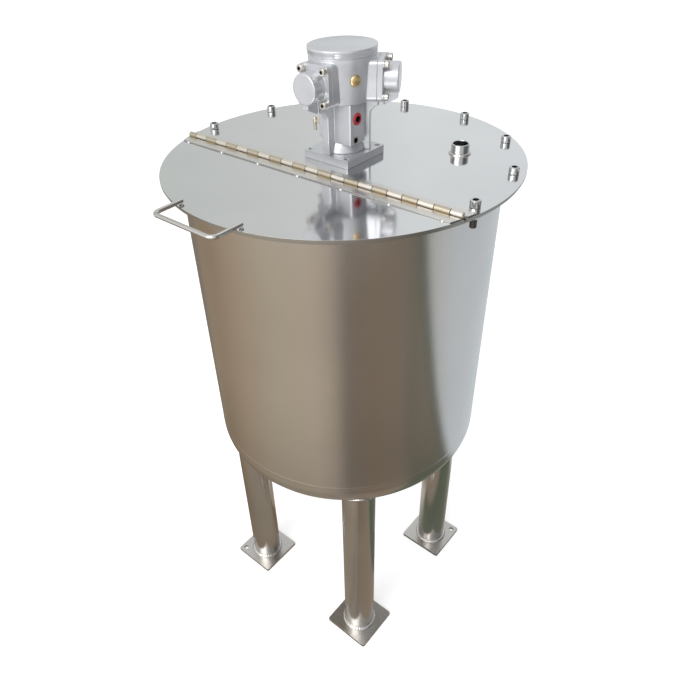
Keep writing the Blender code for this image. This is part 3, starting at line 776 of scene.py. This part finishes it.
def make_lid():
    rear = prism("lid_fixed_half", lid_outline(1), LID_UNDERSIDE, LID_TOP)
    holes = []
    for index, spot in enumerate(bolt_places()):
        holes.append(lid_hole(f"hole_{index}", BOLT_HOLE_RADIUS, 32, spot))
    holes.append(lid_hole("nozzle_hole", NOZZLE_HOLE, 64, NOZZLE))
    holes.append(lid_hole("shaft_hole", SHAFT_HOLE, 48, MOTOR))
    # Painted shade: the upright rim faces of both lid halves take the darkened rim steel
    mark_rim(carve(rear, holes))
    put(on_axis(soften(rear, 0.0003)), "lid", ["lid_rear"], marked="edge")
    flap = mark_rim(prism("lid_flap_half", lid_outline(-1), LID_UNDERSIDE, LID_TOP))
    put(on_axis(soften(flap, 0.0003)), "lid", ["lid_flap"], "flap", "edge")


def leaf_outline(side):
    """Outline of a hinge leaf, its ends following the lid's rim."""
    outer = HINGE_Y + side * LEAF_OUTER
    inner = HINGE_Y + side * LEAF_INNER
    points = []
    for end in (1, -1):
        row = []
        for step in range(7):
            y = inner + (outer - inner) * step / 6
            row.append((end * math.sqrt(LEAF_END_RADIUS ** 2 - y * y), y))
        points += row if end > 0 else row[::-1]
    return points


def knuckle(low, high, side):
    """Barrel about the hinge pin between two places in X, and its tongue to the leaf."""
    edge = 0.0004
    profile = [
        (PIN_HOLE_RADIUS, low), (BARREL_RADIUS - edge, low), (BARREL_RADIUS, low + edge),
        (BARREL_RADIUS, high - edge), (BARREL_RADIUS - edge, high), (PIN_HOLE_RADIUS, high),
    ]
    barrel = place(lathe("barrel", profile, 32), along_x((0.0, HINGE_Y, PIN_LEVEL)))
    inner = HINGE_Y + side * LEAF_INNER
    end_x = math.sqrt(LEAF_END_RADIUS ** 2 - inner ** 2)
    root = inner + side * 0.002
    raised = LEAF_BOTTOM + 0.0001
    tongue = block(
        "tongue",
        (max(low, -end_x), min(HINGE_Y, root), raised),
        (min(high, end_x), max(HINGE_Y, root), raised + LEAF_THICKNESS),
    )
    return [barrel, tongue]


def make_hinge_leaf(name, side, node, body, look):
    """Strip on the lid, and every other knuckle, side being -1 for the flap's leaf."""
    strip = prism(name + "_strip", leaf_outline(side), LEAF_BOTTOM, LEAF_BOTTOM + LEAF_THICKNESS)
    # Painted shade: the strip's upright faces take the darker foot-plate steel, a thin dark line along
    # the leaf's edges
    put(on_axis(sharpen(mark_rim(strip))), "leaf", body=body, marked="foot")
    parts = []
    count = int(BARREL_END / BARREL_PITCH) + 1
    for index in range(-count, count):
        if (index % 2 == 1) != (side < 0):
            continue
        low = max(index * BARREL_PITCH, -BARREL_END) + BARREL_GAP
        high = min((index + 1) * BARREL_PITCH, BARREL_END) - BARREL_GAP
        if high > low:
            parts += knuckle(low, high, side)
    knuckles = sharpen(joined(name + "_knuckles", parts))
    put(on_axis(knuckles), look, [node], body)


def make_hinge():
    make_hinge_leaf("rear_leaf", 1, "hinge_leaf_rear", "tank", "strip")
    make_hinge_leaf("front_leaf", -1, "hinge_leaf_front", "flap", "bronzed")
    tacks = []
    for index in range(-3, 4):
        spot = (index * TACK_SPACING, HINGE_Y - LEAF_OUTER - 0.0002, LEAF_BOTTOM + 0.0002)
        tacks.append(weld_dab(spot, (0.0040, 0.0022, 0.0016)))
    put(on_axis(joined("front_leaf_tacks", tacks)), "bead", body="flap")
    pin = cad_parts["hinge_pin"]
    pin.data.materials.clear()
    pin.data.materials.append(LOOKS["turned"][0])


def make_handle():
    """Wire bow bent round two corners, with a dab of weld on each side of its ends."""
    pace = (HANDLE_ROOT - HANDLE_BEND - HANDLE_FRONT) / 8
    run = [HANDLE_ROOT - pace * step for step in range(8)]
    points = [Vector((HANDLE_X - HANDLE_HALF, y, HANDLE_LEVEL)) for y in run]
    for side in (-1, 1):
        arc = []
        for step in range(13):
            angle = math.pi / 2 * step / 12
            out, forward = polar(HANDLE_BEND, angle)
            x = HANDLE_X + side * (HANDLE_HALF - HANDLE_BEND + out)
            arc.append(Vector((x, HANDLE_FRONT + HANDLE_BEND - forward, HANDLE_LEVEL)))
        points += arc if side < 0 else arc[::-1]
    points += [Vector((HANDLE_X + HANDLE_HALF, y, HANDLE_LEVEL)) for y in reversed(run)]
    handle = sweep("handle", points, [HANDLE_WIRE] * len(points), 20)
    put(on_axis(sharpen(handle, 60)), "wire", ["flap_handle"], "flap")
    dabs = []
    for side in (-1, 1):
        for offset in (-0.0032, 0.0032):
            spot = (HANDLE_X + side * HANDLE_HALF + offset, HANDLE_ROOT - 0.007, LID_TOP + 0.0004)
            dabs.append(weld_dab(spot, (0.0026, 0.0062, 0.0028)))
    put(on_axis(joined("handle_welds", dabs)), "bead", body="flap")


def socket_screw(name, head_radius, head_height, shank_radius, tail, socket):
    """Socket head screw about the Z axis, its head's underside at zero."""
    knurl = 0.018
    bm = bmesh.new()
    rows = []
    for radius, height, knurled in (
        (head_radius - 0.0009, head_height, False),
        (head_radius, head_height - 0.0009, False),
        (head_radius, head_height - 0.0012, True),
        (head_radius, 0.0008, True),
        (head_radius, 0.0005, False),
        (head_radius - 0.0004, 0.0, False),
    ):
        row = ring(radius, height, 96)
        if knurled:
            for point in row[1::2]:
                point.xy *= 1 - knurl
        rows.append([bm.verts.new(p) for p in row])
    bridge(bm, rows)
    bm.faces.new(rows[0])
    bm.faces.new(rows[-1][::-1])
    bmesh.ops.recalc_face_normals(bm, faces=bm.faces)
    head = make_object(name, bm)
    corner = socket / math.sqrt(3)
    carve(head, [cylinder("hexagon", corner, head_height * 0.45, head_height + CUT_OVER, 6)])
    # Painted shade: the socket's walls and floor take the second material
    mark(head, lambda centre, normal: (
        centre.xy.length < 0.58 * socket and 0.44 * head_height < centre.z < head_height - 0.0003
    ))
    shank = cylinder("shank", shank_radius, -tail, 0.0002, 32)
    return joined(name, [head, shank])


def make_bolts():
    """Lid screws with their nuts and threads under the flange, all of one mesh."""
    screw = socket_screw(
        "screw", head_radius=0.009, head_height=0.012, shank_radius=0.0055, tail=0.010, socket=0.010
    )
    nut_top = FLANGE_UNDERSIDE - GAP - LEAF_BOTTOM
    nut = baked(soften(cylinder("nut", NUT_RADIUS, nut_top - NUT_HEIGHT, nut_top, 6), 0.0006))
    low = nut_top - BOLT_TAIL
    threads = [(0.0, low)]
    for index in range(int(BOLT_TAIL / THREAD_PITCH)):
        level = low + index * THREAD_PITCH
        threads += [(THREAD_ROOT, level), (THREAD_CREST, level + 0.0008)]
    threads += [(THREAD_ROOT, nut_top), (0.0, nut_top)]
    # Painted shade: the whole thread under the flange takes the second material
    thread = mark(lathe("thread", threads[::-1], 32), lambda centre, normal: True)
    pattern = sharpen(joined("lid_screw", [screw, nut, thread]))
    for index, spot in enumerate(bolt_places(), 1):
        bolt = add_object(f"lid_screw_{index}", pattern.data)
        bolt.location = (spot[0], spot[1] + AXIS_Y, LEAF_BOTTOM)
        bolt.rotation_euler.z = index * 0.7
        put(bolt, "turned", [f"lid_bolt_{index}"], marked="painted_shade")
    remove(pattern)


def make_nozzle():
    edge = 0.0004
    chamfer = 0.0006
    profile = [
        (NOZZLE_RADIUS - chamfer, NOZZLE_TOP), (NOZZLE_RADIUS, NOZZLE_TOP - chamfer),
        (NOZZLE_RADIUS, LID_UNDERSIDE + edge), (NOZZLE_RADIUS - edge, LID_UNDERSIDE),
        (NOZZLE_BORE + edge, LID_UNDERSIDE), (NOZZLE_BORE, LID_UNDERSIDE + edge),
        (NOZZLE_BORE, NOZZLE_TOP - chamfer), (NOZZLE_BORE + edge, NOZZLE_TOP),
    ]
    tube = sharpen(lathe("nozzle_tube", profile, 96, NOZZLE))
    put(on_axis(tube), "turned", ["inlet_nozzle"])
    collar = ring(NOZZLE_RADIUS + 0.0016, LID_TOP + 0.0006, 96, NOZZLE)
    put(on_axis(weld_bead("nozzle_weld", collar, 0.0025, 10)), "bead")


def on_motor(obj, angle=LID_TURN):
    """Turn a mesh made along +X from the motor's axis, with heights above the lid."""
    spot = Matrix.Translation((MOTOR[0], MOTOR[1] + AXIS_Y, LID_TOP))
    return place(obj, spot @ Matrix.Rotation(angle, 4, "Z"))


def make_motor_base():
    base = block("base_plate", (-BASE_HALF, -BASE_HALF, GAP), (BASE_HALF, BASE_HALF, BASE_TOP), 0.0025)
    floor = BASE_TOP - BASE_SCREW_SINK
    tools = [cylinder("bore", SHAFT_HOLE, -CUT_OVER, BASE_TOP + CUT_OVER, 48)]
    for side_x in (-1, 1):
        for side_y in (-1, 1):
            spot = (side_x * BASE_SCREW_PLACE, side_y * BASE_SCREW_PLACE)
            tools.append(cylinder("sink", 0.0050, floor, BASE_TOP + CUT_OVER, 40, spot))
    carve(base, tools)
    put(on_motor(soften(base, 0.0007, 3)), "paint", ["motor_base_plate"])
    pattern = sharpen(socket_screw(
        "base_screw", head_radius=0.0045, head_height=0.005, shank_radius=0.0025, tail=0.001,
        socket=0.004,
    ))
    for index, (side_x, side_y) in enumerate(CORNERS, 1):
        spot = (side_x * BASE_SCREW_PLACE, side_y * BASE_SCREW_PLACE, floor + 0.0001)
        screw = copy_of(pattern, f"base_screw_{index}", Matrix.Translation(spot))
        put(on_motor(screw), "plated", marked="painted_shade")
    remove(pattern)


def flare_line(first, last, steps=10):
    """Points of the ducts' flare, a quarter ellipse, between two reaches."""
    span = COVER_REACH - DUCT_REACH
    start = math.acos((COVER_REACH - first) / span)
    end = math.acos((COVER_REACH - last) / span)
    points = []
    for step in range(steps + 1):
        angle = start + (end - start) * step / steps
        drop = FLARE_HEIGHT * (1 - math.sin(angle))
        points.append((COVER_REACH - span * math.cos(angle), FLARE_TOP - drop))
    return points


def standing(name, outline, width, rounding=0.0, round_from=0.0):
    """Plate with a (reach, height) outline that stands along +X, its outer edges rounded."""
    obj = prism(name, outline, -width / 2, width / 2)
    place(obj, Matrix.Rotation(math.pi / 2, 4, "X"))
    if rounding:
        bm = bmesh.new()
        bm.from_mesh(obj.data)
        edges = []
        for edge in bm.edges:
            first, second = (v.co for v in edge.verts)
            level = abs(first.y - second.y) < 1e-6
            if level and min(first.x, second.x) > round_from:
                edges.append(edge)
        bmesh.ops.bevel(bm, geom=edges, offset=rounding, segments=5, profile=0.5, affect="EDGES")
        bm.to_mesh(obj.data)
        bm.free()
    return obj


def make_column():
    """Column with its duct webs, and the blocks of the air port and the exhaust beside it."""
    low = BASE_TOP + GAP
    high = BODY_LOW - GAP
    foot = [
        (0.030, high), (0.030, 0.050), (0.0335, 0.036), (0.0375, 0.025), (0.0393, low + 0.004),
        (0.040, low + 0.002), (0.040, low), (0.0103, low), (0.0103, high),
    ]
    parts = [lathe("trunk", foot, 96)]
    duct = [(0.012, high), (0.012, low), (DUCT_REACH, low)]
    duct += flare_line(DUCT_REACH, BLOCK_REACH) + [(BLOCK_REACH, high)]
    for angle in HEADS.values():
        plate = standing("duct", duct, DUCT_WIDTH, 0.0018, 0.045)
        parts.append(place(plate, Matrix.Rotation(angle, 4, "Z")))
    parts.append(block("ports", (0.0, -0.035, 0.035), (PORT_FACE, 0.005, high), 0.0025))
    parts.append(block("exhaust", (-0.031, -0.034, 0.038), (0.0, 0.004, high), 0.0025))
    column = casting("column", parts, passes=6)

    recess = (PORT_FACE - PORT_RECESS, PORT[0], PORT_RECESS_LEVEL)
    outside = 0.07
    carve(column, [
        rod("seat", 0.0111, (0.038, *PLUG), (outside, *PLUG), 48),
        rod("port", 0.0053, (0.016, *PORT), (outside, *PORT), 40),
        rod("face", 0.0074, recess, (outside, *recess[1:]), 40),
    ])
    # Painted shade: the port's bore takes the second material
    mark(sharpen(column, 40), lambda centre, normal: (
        centre.x < PORT_FACE - 0.001 and (centre.yz - Vector(PORT)).length < 0.0055
    ))
    put(on_motor(column), "paint", ["motor_column"], marked="painted_shade")
    lip = lathe("port_lip", [(0.0054, 0.0), (0.0054, 0.0005), (0.0072, 0.0005), (0.0072, 0.0)], 48)
    place(lip, along_x(recess))
    put(on_motor(sharpen(lip)), "brass_dull")


def head_block(name, low, high):
    """Upright plate of a cylinder head between two reaches, its corners rounded."""
    return block(
        name, (low, -HEAD_WIDTH / 2, BODY_LOW), (high, HEAD_WIDTH / 2, BODY_LOW + HEAD_HEIGHT),
        HEAD_CORNER, corner_axis=0,
    )


def make_motor_body():
    profile = [
        (0.0, BODY_TOP), (0.0600, BODY_TOP), (0.0600, 0.175), (0.0560, BODY_LOW), (0.0, BODY_LOW),
    ]
    parts = [lathe("barrel", profile, 128)]
    for angle in HEADS.values():
        parts.append(place(head_block("head", 0.020, BLOCK_REACH), Matrix.Rotation(angle, 4, "Z")))
    body = casting("body", parts)
    out = Vector((*polar(1.0, BREATHER_TURN), 0.0))
    level = Vector((0.0, 0.0, BREATHER_LEVEL))
    carve(body, [rod("seat", 0.0098, out * 0.0497 + level, out * 0.08 + level, 48)])
    put(on_motor(sharpen(body, 40)), "paint", ["motor_body"])

    profile = [
        (0.0, 0.195), (0.0606, 0.195), (0.0612, 0.1948), (0.0615, 0.1942), (0.0615, 0.1888),
        (0.0608, 0.1882), (0.0608, 0.1820), (0.0, 0.1818),
    ]
    cap = lathe("cap", profile, 128)
    put(on_motor(sharpen(cap, 50)), "paint", ["motor_top_cap"])


def make_covers():
    """Cylinder covers, each with its bonnet, the end of its duct, a web and four screws."""
    back = BLOCK_REACH + 0.0001
    lip = flare_line(back, COVER_REACH) + [(COVER_REACH, 0.118), (back, 0.118)]
    web = [
        (0.070, FLARE_TOP), (0.077, FLARE_TOP), (0.0985, 0.1075), (0.0985, 0.1285), (0.070, 0.1285),
    ]
    bonnet = [
        (0.0, 0.1012), (0.0238, 0.1012), (0.0250, 0.1008), (0.0257, 0.1000), (0.0260, 0.0988),
        (0.0260, 0.067), (0.0, 0.067),
    ]
    screw = socket_screw(
        "head_screw", head_radius=0.0065, head_height=0.008, shank_radius=0.004, tail=0.001,
        socket=0.006,
    )
    washer = lathe(
        "washer",
        [(0.0078, 0.0), (0.0078, -WASHER_THICKNESS), (0.004, -WASHER_THICKNESS), (0.004, 0.0)], 48,
    )
    pattern = sharpen(joined("head_screw", [screw, washer]))
    reach = COVER_REACH + WASHER_THICKNESS + 0.0001
    for name, angle in HEADS.items():
        plate = head_block("plate", back, COVER_REACH)
        dome = place(lathe("dome", bonnet, 96), along_x((0.0, 0.0, HEAD_LEVEL)))
        parts = [plate, dome, standing("lip", lip, DUCT_WIDTH), standing("web", web, WEB_WIDTH)]
        cover = casting(f"cover_{name}", parts, 0.0006, 2)
        put(on_motor(cover, LID_TURN + angle), "paint", [f"cylinder_cover_{name}"])
        for index, (across, up) in enumerate(CORNERS, 1):
            spot = (reach, across * HEAD_SCREW_ACROSS, HEAD_LEVEL + up * HEAD_SCREW_UP)
            screw = copy_of(pattern, f"head_screw_{name}_{index}", along_x(spot))
            put(on_motor(screw, LID_TURN + angle), "plated", marked="painted_shade")
    remove(pattern)


def make_plugs():
    profile = [(0.0, 0.002), (0.0098, 0.002), (0.0108, 0.001), (0.0108, -0.0077), (0.0, -0.0077)]
    plug = lathe("red_plug", profile, 64)
    carve(plug, [cylinder("hexagon", 0.0066, -0.0072, CUT_OVER, 6)])
    # Painted shade: the hexagon's walls and floor take the second material
    mark(plug, lambda centre, normal: centre.xy.length < 0.0067 and -0.0075 < centre.z < 0.001)
    place(plug, along_x((PORT_FACE, *PLUG)))
    put(on_motor(sharpen(plug)), "red", ["port_plug"], marked="painted_shade")

    profile = [
        (0.0, 0.061), (0.0060, 0.0608), (0.0083, 0.0600), (0.0095, 0.0585), (0.0095, 0.0500),
        (0.0, 0.0500),
    ]
    breather = place(lathe("brass_plug", profile, 64), along_x((0.0, 0.0, BREATHER_LEVEL)))
    place(breather, Matrix.Rotation(BREATHER_TURN, 4, "Z"))
    put(on_motor(sharpen(breather, 40)), "brass_turned", ["breather_plug"])

    stub = rod("stub", 0.0035, (-0.0313, EXHAUST[1], EXHAUST_LEVEL), (*EXHAUST, EXHAUST_LEVEL), 6)
    profile = [
        (0.0, 0.065), (0.0022, 0.0648), (0.0036, 0.0635), (0.0040, 0.062), (0.0040, 0.053),
        (0.0032, 0.052), (0.0032, 0.040), (0.0, 0.040),
    ]
    silencer = lathe("silencer", profile, 40, EXHAUST)
    fitting = joined("exhaust_silencer", [stub, silencer])
    put(on_motor(sharpen(fitting, 40)), "brass_dull", ["exhaust_fitting"])


def make_agitator():
    """Shaft down the tank's inside, with a hub and pitched blades near its end."""
    bottom = IMPELLER_LEVEL - 2 * HUB_HALF
    shaft = cylinder("mixer_shaft", SHAFT_RADIUS, bottom, LID_TOP + 0.060, 64, MOTOR)
    put(on_axis(soften(shaft, 0.0008)), "turned", ["agitator_shaft"])
    low = IMPELLER_LEVEL - HUB_HALF
    high = IMPELLER_LEVEL + HUB_HALF
    profile = [
        (0.018, high - 0.001), (0.017, high), (SHAFT_RADIUS + GAP, high), (SHAFT_RADIUS + GAP, low),
        (0.017, low), (0.018, low + 0.001),
    ]
    parts = [lathe("hub", profile, 64, MOTOR)]
    for index in range(BLADE_COUNT):
        blade = block(
            "blade", (0.015, -0.002, -HUB_HALF), (BLADE_REACH, 0.002, HUB_HALF), 0.0015,
            corner_axis=0, segments=3,
        )
        spot = Matrix.Translation((*MOTOR, IMPELLER_LEVEL))
        angle = math.radians(45) + 2 * math.pi * index / BLADE_COUNT
        pitch = Matrix.Rotation(math.radians(45), 4, "X")
        parts.append(place(blade, spot @ Matrix.Rotation(angle, 4, "Z") @ pitch))
    put(on_axis(sharpen(joined("mixer_impeller", parts))), "turned", ["agitator_impeller"])


def make_camera():
    data = bpy.data.cameras.new("camera")
    data.lens = 33.403
    data.sensor_width = 36.0
    data.shift_x = 0.02696
    data.shift_y = 0.00131
    data.clip_end = 100.0
    camera = add_object("camera", data)
    camera.location = (0.74602, -0.87390, 1.64105)
    camera.rotation_euler = (math.radians(52.8818), math.radians(2.2759), math.radians(40.7538))
    bpy.context.scene.camera = camera


def plain_disc(name, radius, level):
    bm = bmesh.new()
    bmesh.ops.create_circle(bm, cap_ends=True, segments=96, radius=radius)
    disc = make_object(name, bm)
    disc.location = (0.0, AXIS_Y, level)
    return disc


def make_floor():
    floor = plain_disc("floor", 40.0, -0.0005)
    shader = Shader("floor")
    shader.set(Base_Color=(0.80, 0.80, 0.80, 1.0), Roughness=0.9, Specular_IOR_Level=0.0)
    shader.set(Emission_Color=(1.0, 1.0, 1.0, 1.0), Emission_Strength=0.50)
    floor.data.materials.append(shader.material)


def emission_only(shader, colour):
    """Make a shader's material an even light of the given colour output."""
    light = shader.add("ShaderNodeEmission")
    shader.links.new(colour, light.inputs["Color"])
    output = shader.nodes["Material Output"]
    shader.links.new(light.outputs["Emission"], output.inputs["Surface"])


def greys(stops):
    """Ramp stops of plain greys from (place, tone) pairs."""
    return [(position, (tone, tone, tone)) for position, tone in stops]


# Painted reflection: floor tones that the card shows in the polished wall, by azimuth as a share of a
# turn from -X
FLOOR_TONES = [
    (0.00, (0.34, 0.27, 0.20)), (0.06, (0.35, 0.27, 0.19)), (0.13, (0.46, 0.36, 0.27)),
    (0.21, (0.53, 0.46, 0.36)), (0.30, (0.56, 0.48, 0.39)), (0.335, (0.47, 0.40, 0.33)),
    (0.362, (0.22, 0.19, 0.16)), (0.39, (0.24, 0.19, 0.15)), (0.43, (0.25, 0.20, 0.15)),
    (0.48, (0.25, 0.21, 0.17)), (0.506, (0.10, 0.12, 0.09)), (0.60, (0.13, 0.14, 0.11)),
    (0.76, (0.50, 0.46, 0.41)), (0.86, (0.28, 0.24, 0.20)), (1.00, (0.34, 0.27, 0.20)),
]
BROWN_FLOOR = (0.23, 0.20, 0.16)
DAYLIGHT = [(0.50, (0.58, 0.58, 0.57)), (0.60, (0.66, 0.71, 0.76))]

# Floor beyond the reach of the wall's reflections, which only the motor's upper parts see
FAR_TONES = [
    (0.00, 0.50), (0.08, 0.60), (0.14, 0.85), (0.25, 1.00), (0.42, 0.95), (0.46, 0.08), (0.63, 0.06),
    (0.72, 0.70), (0.80, 0.90), (1.00, 0.50),
]

# Studio walls round the horizon, by the same share
WALL_TONES = [
    (0.00, (0.52, 0.53, 0.53)), (0.10, (0.90, 0.91, 0.93)), (0.30, (1.00, 1.00, 1.02)),
    (0.44, (0.75, 0.76, 0.78)), (0.48, (0.14, 0.15, 0.16)), (0.58, (0.12, 0.13, 0.14)),
    (0.66, (0.38, 0.39, 0.41)), (0.78, (0.80, 0.83, 0.86)), (0.84, (0.86, 0.89, 0.90)),
    (0.87, (0.72, 0.74, 0.73)), (0.91, (0.64, 0.67, 0.65)), (1.00, (0.52, 0.53, 0.53)),
]

# Ceiling by the same share: dimmer over the side that the motor's shaded faces turn to
CEILING_TONES = [(0.00, 1.0), (0.32, 1.0), (0.42, 0.6), (0.60, 0.5), (0.74, 1.0), (1.00, 1.0)]


def make_floor_card():
    """Glowing card over the floor that only polished metal sees: painted reflection of a warm floor
    with a daylit side.

    Its areas fade over stretches in metres, or over shares of a turn for the azimuth.
    """
    card = plain_disc("floor_card", 12.0, 0.0003)
    shader = Shader("floor_card")
    x, y, _ = shader.axes()
    share = shader.azimuth(x, y)
    apart = shader.calc("SQRT", shader.calc("ADD", shader.product(x, x), shader.product(y, y)))

    # Away from the tank, brown takes the green's place short of a line across the floor
    before_line = shader.fall(shader.calc("MULTIPLY_ADD", x, 0.22, y), 0.49, 0.59)
    brown = shader.product(shader.rise(apart, 0.70, 0.85), shader.rise(share, 0.48, 0.506), before_line)
    tones = shader.mix(brown, shader.ramp(share, FLOOR_TONES), BROWN_FLOOR)

    # Painted shadow of the tank on the reflected floor: darker towards the tank, but less so from the
    # front right leg's azimuth on
    lit = shader.span(apart, 0.60, 1.0, 0.50, 1.15)
    by_leg = shader.product(shader.span(share, 0.0, 0.65, 0.33, 0.37), shader.fall(apart, 0.55, 0.85))
    tones = shader.dimmed(tones, shader.calc("ADD", lit, by_leg))

    # Daylight lies beyond another line, on the right
    beyond_line = shader.rise(shader.calc("MULTIPLY_ADD", x, 0.08, y), 0.46, 0.53)
    daylit = shader.product(beyond_line, shader.rise(x, -0.9, -0.2))
    close = shader.mix(daylit, tones, shader.ramp(share, DAYLIGHT))
    far = shader.ramp(share, greys(FAR_TONES))
    emission_only(shader, shader.mix(shader.rise(apart, 3.2, 3.8), close, far))
    card.data.materials.append(shader.material)
    card.visible_camera = False
    card.visible_diffuse = False
    card.visible_shadow = False
    card.visible_transmission = False


def make_world():
    """Studio walls of varying tone round the horizon, under a pale ceiling."""
    world = bpy.data.worlds.new("studio")
    world.use_nodes = True
    wiring = Wiring(world.node_tree, "Generated")
    x, y, z = wiring.axes()
    share = wiring.azimuth(x, y)
    walls = wiring.ramp(share, WALL_TONES)
    ceiling = wiring.ramp(share, greys(CEILING_TONES))
    overhead = wiring.span(z, 0.0, 1.0, 0.55, 0.85, "SMOOTHSTEP")
    background = wiring.nodes["Background"]
    wiring.links.new(wiring.mix(overhead, walls, ceiling), background.inputs["Color"])
    bpy.context.scene.world = world


def soft_light(name, spot, target, size, power):
    """Square area light that faces a target."""
    data = bpy.data.lights.new(name, "AREA")
    data.shape = "SQUARE"
    data.size = size
    data.energy = power
    light = add_object(name, data)
    light.location = spot
    aim = Vector(target) - Vector(spot)
    light.rotation_euler = aim.to_track_quat("-Z", "Y").to_euler()


make_shell()
make_legs()
make_lid()
make_hinge()
make_handle()
make_bolts()
make_nozzle()
make_motor_base()
make_column()
make_motor_body()
make_covers()
make_plugs()
make_agitator()

make_camera()
make_floor()
make_floor_card()
make_world()
soft_light("key", (0.3, -2.9, 3.4), (0.0, 0.0, 1.0), 2.2, 60.0)
soft_light("side", (-0.2, -1.7, 1.75), (0.0, 0.03, 1.31), 1.2, 5.0)
bpy.context.scene.view_settings.view_transform = "Standard"
